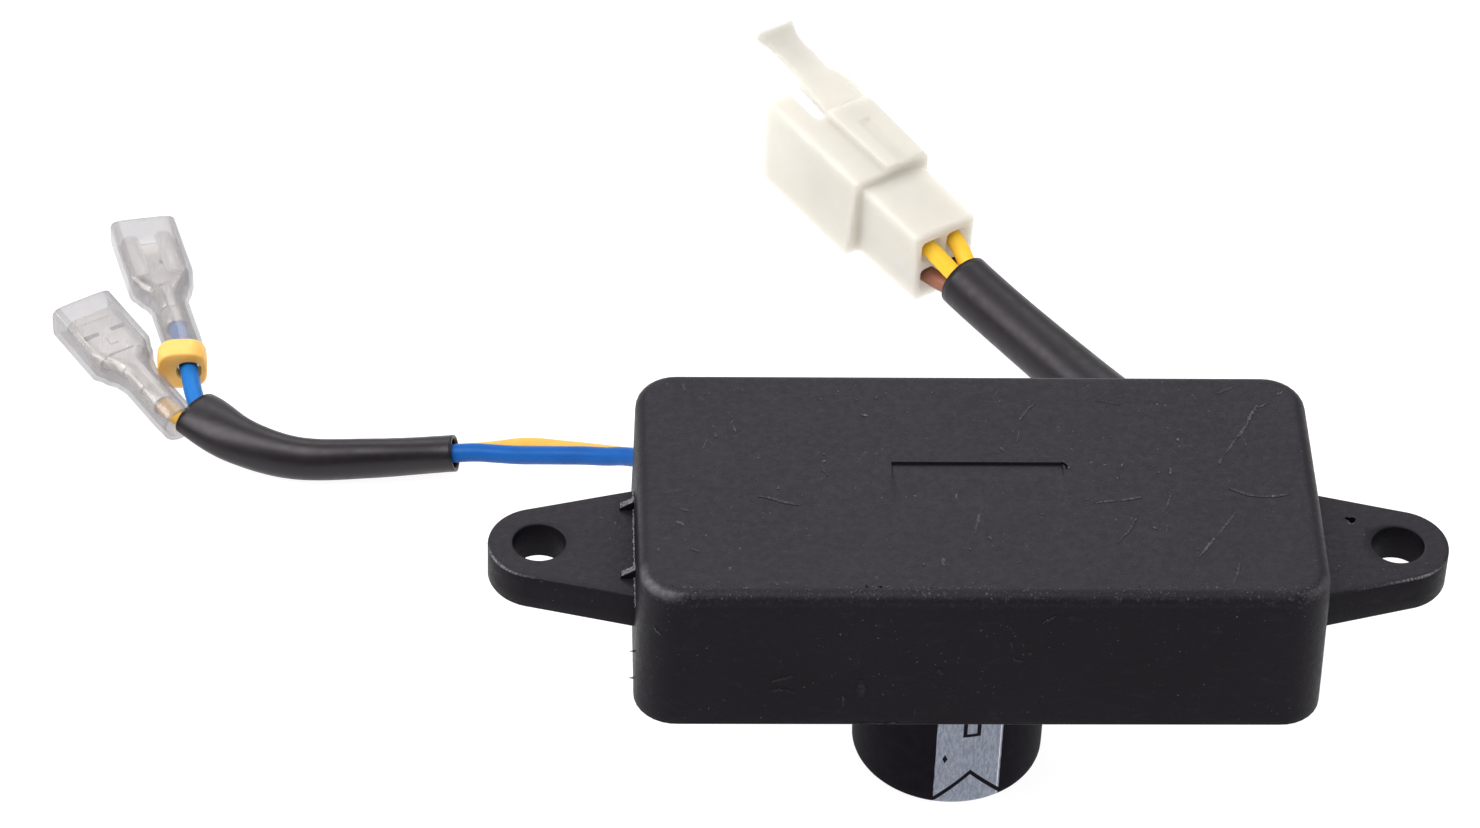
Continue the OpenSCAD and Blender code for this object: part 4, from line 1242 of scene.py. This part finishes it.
# ------------------------------------------------------------------ spade terminals and their clear boots
def placed(o, pos, turn, tilt, shift=0.0):
    o.data.transform(Matrix.Translation(Vector(pos) * MM) @ Matrix.Rotation(math.radians(turn), 4, "Z") @ Matrix.Rotation(math.radians(tilt), 4, "Y") @ Matrix.Translation((shift * MM, 0, 0)))
    return o


def sheet_profile(half, roll, turn_deg, t, segs=9):
    """Cross-section of a rolled-edge receptacle: a floor with both edges curled over. Points (y, z) round the sheet."""
    outer, inner = [], []
    z0 = 0.0
    outer += [(-(half - roll), z0), ((half - roll), z0)]
    pts_o = [((half - roll) + roll * math.sin(math.radians(turn_deg * i / segs)), roll - roll * math.cos(math.radians(turn_deg * i / segs))) for i in range(segs + 1)]
    ri = roll - t
    pts_i = [((half - roll) + ri * math.sin(math.radians(turn_deg * i / segs)), roll - ri * math.cos(math.radians(turn_deg * i / segs))) for i in range(segs + 1)]
    left_o = [(-y, z) for y, z in pts_o]
    left_i = [(-y, z) for y, z in pts_i]
    return list(reversed(left_o)) + pts_o + list(reversed(pts_i)) + left_i


def build_terminal(name, node, pos, turn, tilt, flip, shift, slot):
    b = Builder()

    def loft(sections, closed_ends=True):
        rings = [b.add(s) for s in sections]
        for p, q in zip(rings, rings[1:]):
            b.bridge(p, q)
        if closed_ends:
            b.face(*reversed(rings[0]))
            b.face(*rings[-1])

    k = -1 if flip else 1
    t = 0.38

    def sec(x, half, roll, turn_deg, lift=0.0):
        return [(x, y, k * (-1.1 + lift + z)) for y, z in sheet_profile(half, roll, turn_deg, t)]

    # receptacle with a lead-in, then the neck that narrows into the wire crimp
    loft([sec(18.2, 2.75, 1.0, 225), sec(17.9, 2.8, 1.08, 235), sec(11.6, 2.8, 1.08, 235), sec(11.2, 2.75, 1.05, 200)])
    loft([sec(11.4, 2.5, 1.0, 110), sec(10.6, 1.9, 0.95, 105), sec(9.6, 1.35, 0.95, 110), sec(9.0, 1.2, 0.95, 120)])

    # raised bridge and window frame on the floor
    def bump(x0, x1, y0, y1, h):
        p = [(x0, y0), (x1, y0), (x1, y1), (x0, y1)]
        lo = b.add([(x, y, k * -1.12) for x, y in p])
        hi = b.add([(x + (0.12 if x == x0 else -0.12), y + (0.1 if y == y0 else -0.1), k * (-1.12 - h)) for x, y in p])
        b.bridge(lo, hi)
        b.face(*hi)
    bump(12.6, 13.9, -0.5, 0.5, 0.16)
    bump(16.9, 17.2, -1.7, 1.7, 0.07)
    # spring slots in the floor, drawn as flat dark patches on both faces: painted shade where the openings are
    for y in (-1.55, 1.55):
        q = [(14.6, y - 0.85), (15.2, y - 0.85), (15.2, y + 0.85), (14.6, y + 0.85)]
        b.face(*b.add([(x, v, k * -1.108) for x, v in q]), mat=1)
        b.face(*b.add([(x, v, k * -0.712) for x, v in q]), mat=1)

    # wire crimp: two wings rolled into the strands, with a seam on top
    def crimp(x0, x1, r, squash, seam, t2):
        rings_o, segs = [], 28
        outer, inner = [], []
        for x, g in ((x0, 0.92), (x0 + 0.25, 1.0), (x1 - 0.25, 1.0), (x1, 0.92)):
            ring = []
            for i in range(segs):
                a = 2 * math.pi * i / segs
                rr = r * g
                z = math.sin(a) * rr * squash
                y = math.cos(a) * rr
                top = math.exp(-(y / 0.28) ** 2) * seam if math.sin(a) > 0 else 0
                ring.append((x, y, k * (z - top)))
            outer.append(ring)
        inn = []
        for x in (x1, x0):
            inn.append([(x, math.cos(2 * math.pi * i / segs) * (r - t2), k * math.sin(2 * math.pi * i / segs) * (r - t2) * squash) for i in range(segs)])
        rr = [b.add(q) for q in outer + inn]
        for p, q in zip(rr, rr[1:] + rr[:1]):
            b.bridge(p, q)
    crimp(5.5, 9.0, 1.12, 0.95, 0.35, 0.3)
    crimp(2.5, 5.0, 1.34, 1.0, 0.22, 0.3)
    # strip under both crimps
    lo = b.add([(4.6, -0.7, k * -1.2), (9.6, -0.8, k * -1.1), (9.6, 0.8, k * -1.1), (4.6, 0.7, k * -1.2)])
    hi = b.add([(4.6, -0.7, k * -0.85), (9.6, -0.8, k * -0.75), (9.6, 0.8, k * -0.75), (4.6, 0.7, k * -0.85)])
    b.bridge(lo, hi)
    b.face(*reversed(lo))
    b.face(*hi)
    o = b.object(name, [MAT["tin"], MAT["slot"]], 35)
    # strands of the wire between the crimps and past the front one
    c = Builder()
    for i in range(7):
        a = 2 * math.pi * i / 6
        cy, cz = (0.42 * math.cos(a), 0.42 * math.sin(a)) if i < 6 else (0, 0)
        rings = []
        for x in (4.4, 5.3, 7, 9.2, 9.7):
            rings.append(c.add([(x, cy + 0.22 * math.cos(2 * math.pi * j / 8), k * (cz + 0.22 * math.sin(2 * math.pi * j / 8))) for j in range(8)]))
        for p, q in zip(rings, rings[1:]):
            c.bridge(p, q)
        c.face(*reversed(rings[0]))
        c.face(*rings[-1])
    s = c.object(name + "_strands", [MAT["copper"]], 40)
    placed(o, pos, turn, tilt, shift)
    placed(s, pos, turn, tilt, shift)
    return put(o, node, slot=slot), put(s)


def boot_material():
    g = Graph("clear_boot")
    c = g.coords()
    n = g.noise(c, 420, 3)
    f = g.noise(c, 1800, 3)
    lw = g.new("ShaderNodeLayerWeight")
    lw.inputs[0].default_value = 0.35
    g.set(Base_Color=g.mix(n, (0.208, 0.196, 0.206), (0.268, 0.253, 0.265)), Roughness=g.ramp(f, (0.3, 0.11), (0.7, 0.22)))
    mouth_opacity = g.m("MULTIPLY", g.attr("wear"), 0.15)      # more opaque, so greyer, towards the open mouth
    g.set(Alpha=g.m("ADD", g.m("ADD", 0.31, mouth_opacity), g.m("MULTIPLY", lw.outputs["Facing"], 0.42)))
    g.set(Specular_IOR_Level=1.0)
    g.bump(g.m("ADD", n, g.m("MULTIPLY", f, 0.3)), 0.25, 0.00012)
    return g.mat


def superellipse(w, h, sq, n):
    """sq 1 is an ellipse, smaller is squarer."""
    out = []
    for i in range(n):
        a = 2 * math.pi * (i + 0.5) / n
        c, s = math.cos(a), math.sin(a)
        out.append((w / 2 * math.copysign(abs(c) ** sq, c), h / 2 * math.copysign(abs(s) ** sq, s)))
    return out


def smooth_sections(sections, step):
    xs = [s[0] for s in sections]
    n = max(2, round((xs[-1] - xs[0]) / step))
    out = []
    for i in range(n + 1):
        x = xs[0] + (xs[-1] - xs[0]) * i / n
        k = max(j for j in range(len(xs)) if xs[j] <= x + 1e-9)
        k = min(k, len(xs) - 2)
        t = (x - xs[k]) / (xs[k + 1] - xs[k])
        t = t * t * (3 - 2 * t)
        a, b = sections[k], sections[k + 1]
        out.append([x] + [a[q] + (b[q] - a[q]) * t for q in range(1, 5)])
    return out


def build_boot(name, node, pos, turn, tilt, sections, skew=0.0):
    n, wall = 96, 0.45
    secs = smooth_sections(sections, 0.5)
    b = Builder()
    rings = []

    def lean(x, y):
        """The open mouth is cut a little out of square."""
        return x + skew * y * smoothstep(12, 19, x)

    # the wear weight here only marks the open mouth, where the boot is drawn more opaque
    for x, w, h, sq, off in secs:
        rings.append(b.add([(lean(x, y), y + off, z) for y, z in superellipse(w, h, sq, n)], smoothstep(14.8, 17.0, x)))
    x, w, h, sq, off = secs[-1]
    rings.append(b.add([(lean(x + 0.1, y), y + off, z) for y, z in superellipse(w - wall, h - wall, sq, n)], 1.0))
    for x, w, h, sq, off in reversed(secs):
        rings.append(b.add([(lean(x, y), y + off, z) for y, z in superellipse(w - 2 * wall, h - 2 * wall, sq, n)], smoothstep(14.8, 17.0, x)))
    x, w, h, sq, off = secs[0]
    rings.append(b.add([(x - 0.1, y + off, z) for y, z in superellipse(w - wall, h - wall, sq, n)]))
    for p, q in zip(rings, rings[1:] + rings[:1]):
        b.bridge(p, q)
    o = b.object(name, [BOOT], 60)
    o.visible_shadow = False      # clear: what is inside stays lit
    placed(o, pos, turn, tilt)
    return put(o, node, slot="clear_boot")


MAT["copper"] = metal("strand_copper", (0.86, 0.48, 0.30), 0.3)
# dark finish for painted shade in the terminals' spring slots
MAT["slot"] = moulded("terminal_slot_shade", (0.10, 0.095, 0.09), 0.6)
BOOT = boot_material()
BLUE_AT, YEL_AT = ((-78.3, 56, 2.6), 105, 1.7), ((-79.1, 45.5, 2.1), 122.3, 0)
YEL_SEC = [[-2.1, 4.0, 4.0, 1, 0], [0, 4.2, 4.2, 1, 0], [6, 4.2, 4.2, 1, 0], [7.4, 4.8, 4.2, .9, 0], [9, 6.2, 4.1, .64, 0], [10.4, 7, 4, .34, 0], [18.7, 7, 4, .34, 0]]
BLUE_SEC = [[-3, 4.2, 4.2, 1, 0.25]] + YEL_SEC[1:-1] + [[19.5, 7, 4, .34, 0]]
term_b, strands_b = build_terminal("spade_terminal_blue_visual", "spade_terminal_blue", *BLUE_AT, False, 0.0, "tinned_metal")
term_y, strands_y = build_terminal("spade_terminal_yellow_visual", "spade_terminal_yellow", *YEL_AT, True, -1.2, "tinned_metal")
boot_b = build_boot("terminal_boot_blue_visual", "terminal_boot_blue", *BLUE_AT, BLUE_SEC, 0.085)
boot_y = build_boot("terminal_boot_yellow_visual", "terminal_boot_yellow", *YEL_AT, YEL_SEC)


def marker_material():
    g = Graph("marker_plastic")
    c = g.coords()
    n = g.noise(c, 500, 3)
    f = g.noise(c, 2600, 2)
    g.set(Base_Color=g.mix(g.step(n, 0.3, 0.7), (0.86, 0.47, 0.10), (0.93, 0.54, 0.145)), Roughness=g.ramp(f, (0.3, 0.4), (0.7, 0.52)))
    g.set(Specular_IOR_Level=0.4, Subsurface_Weight=0.25, Subsurface_Scale=0.0012)
    g.bump(f, 0.12, 0.00005)
    return g.mat


def build_ring():
    """Short sleeve with a thick lip at the wire side."""
    n = 56
    b = Builder()
    prof = []      # (x, width, squareness, sideways shift)
    prof += [(0.0, 4.7, 0.72, 0), (0.06, 4.95, 0.68, 0), (0.2, 5.12, 0.66, 0), (1.4, 5.2, 0.66, 0), (2.25, 5.15, 0.66, 0), (2.45, 5.05, 0.68, 0), (2.55, 4.85, 0.72, 0)]
    prof += [(2.55, 4.66, 1, 0), (1.5, 4.62, 1, 0), (1.35, 2.6, 0.9, -0.66), (0.25, 2.45, 0.85, -0.7), (0.0, 2.65, 0.8, -0.7)]
    rings = []
    for x, w, sq, off in prof:
        rings.append(b.add([(x, y + off, z) for y, z in superellipse(w, w * 0.94, sq, n)]))
    for p, q in zip(rings, rings[1:] + rings[:1]):
        b.bridge(p, q)
    o = b.object("marker_ring_visual", [marker_material()], 50)
    placed(o, (-78.05, 51.45, 2.6), 93, 0)
    return put(o, "marker_ring", slot="marker_plastic")


ring = build_ring()


# ------------------------------------------------------------------ finish of the CAD nodes that stay
def potting_material():
    g = Graph("potting")
    c = g.coords()
    w = g.noise(c, 180, 3)
    f = g.noise(c, 2000, 3)
    p = g.step(g.voronoi(c, 420), 0.16, 0.05)
    g.set(Base_Color=g.mix(g.step(w, 0.3, 0.7), (0.012, 0.012, 0.013), (0.020, 0.020, 0.021)), Roughness=g.ramp(w, (0.3, 0.18), (0.7, 0.34)))
    g.set(Specular_IOR_Level=0.4)
    g.bump(g.m("ADD", g.m("MULTIPLY", w, 1.5), g.m("SUBTRACT", g.m("MULTIPLY", f, 0.1), g.m("MULTIPLY", p, 0.4))), 0.35, 0.0002)
    return g.mat


MAT["potting"] = potting_material()
for n, key in {"circuit_board": "board", "capacitor_can": "aluminium", "capacitor_leads": "tin", "rectifier_diodes": "component",
               "power_transistor": "component", "resistors": "resistor", "zener_diodes": "zener", "signal_transistors": "component",
               "small_electrolytic": "component", "film_capacitor": "filmcap", "trimmer": "trimmer", "connector_contacts": "brass",
               "potting_compound": "potting"}.items():
    me = nodes[n].data
    me.materials.clear()
    me.materials.append(MAT[key])
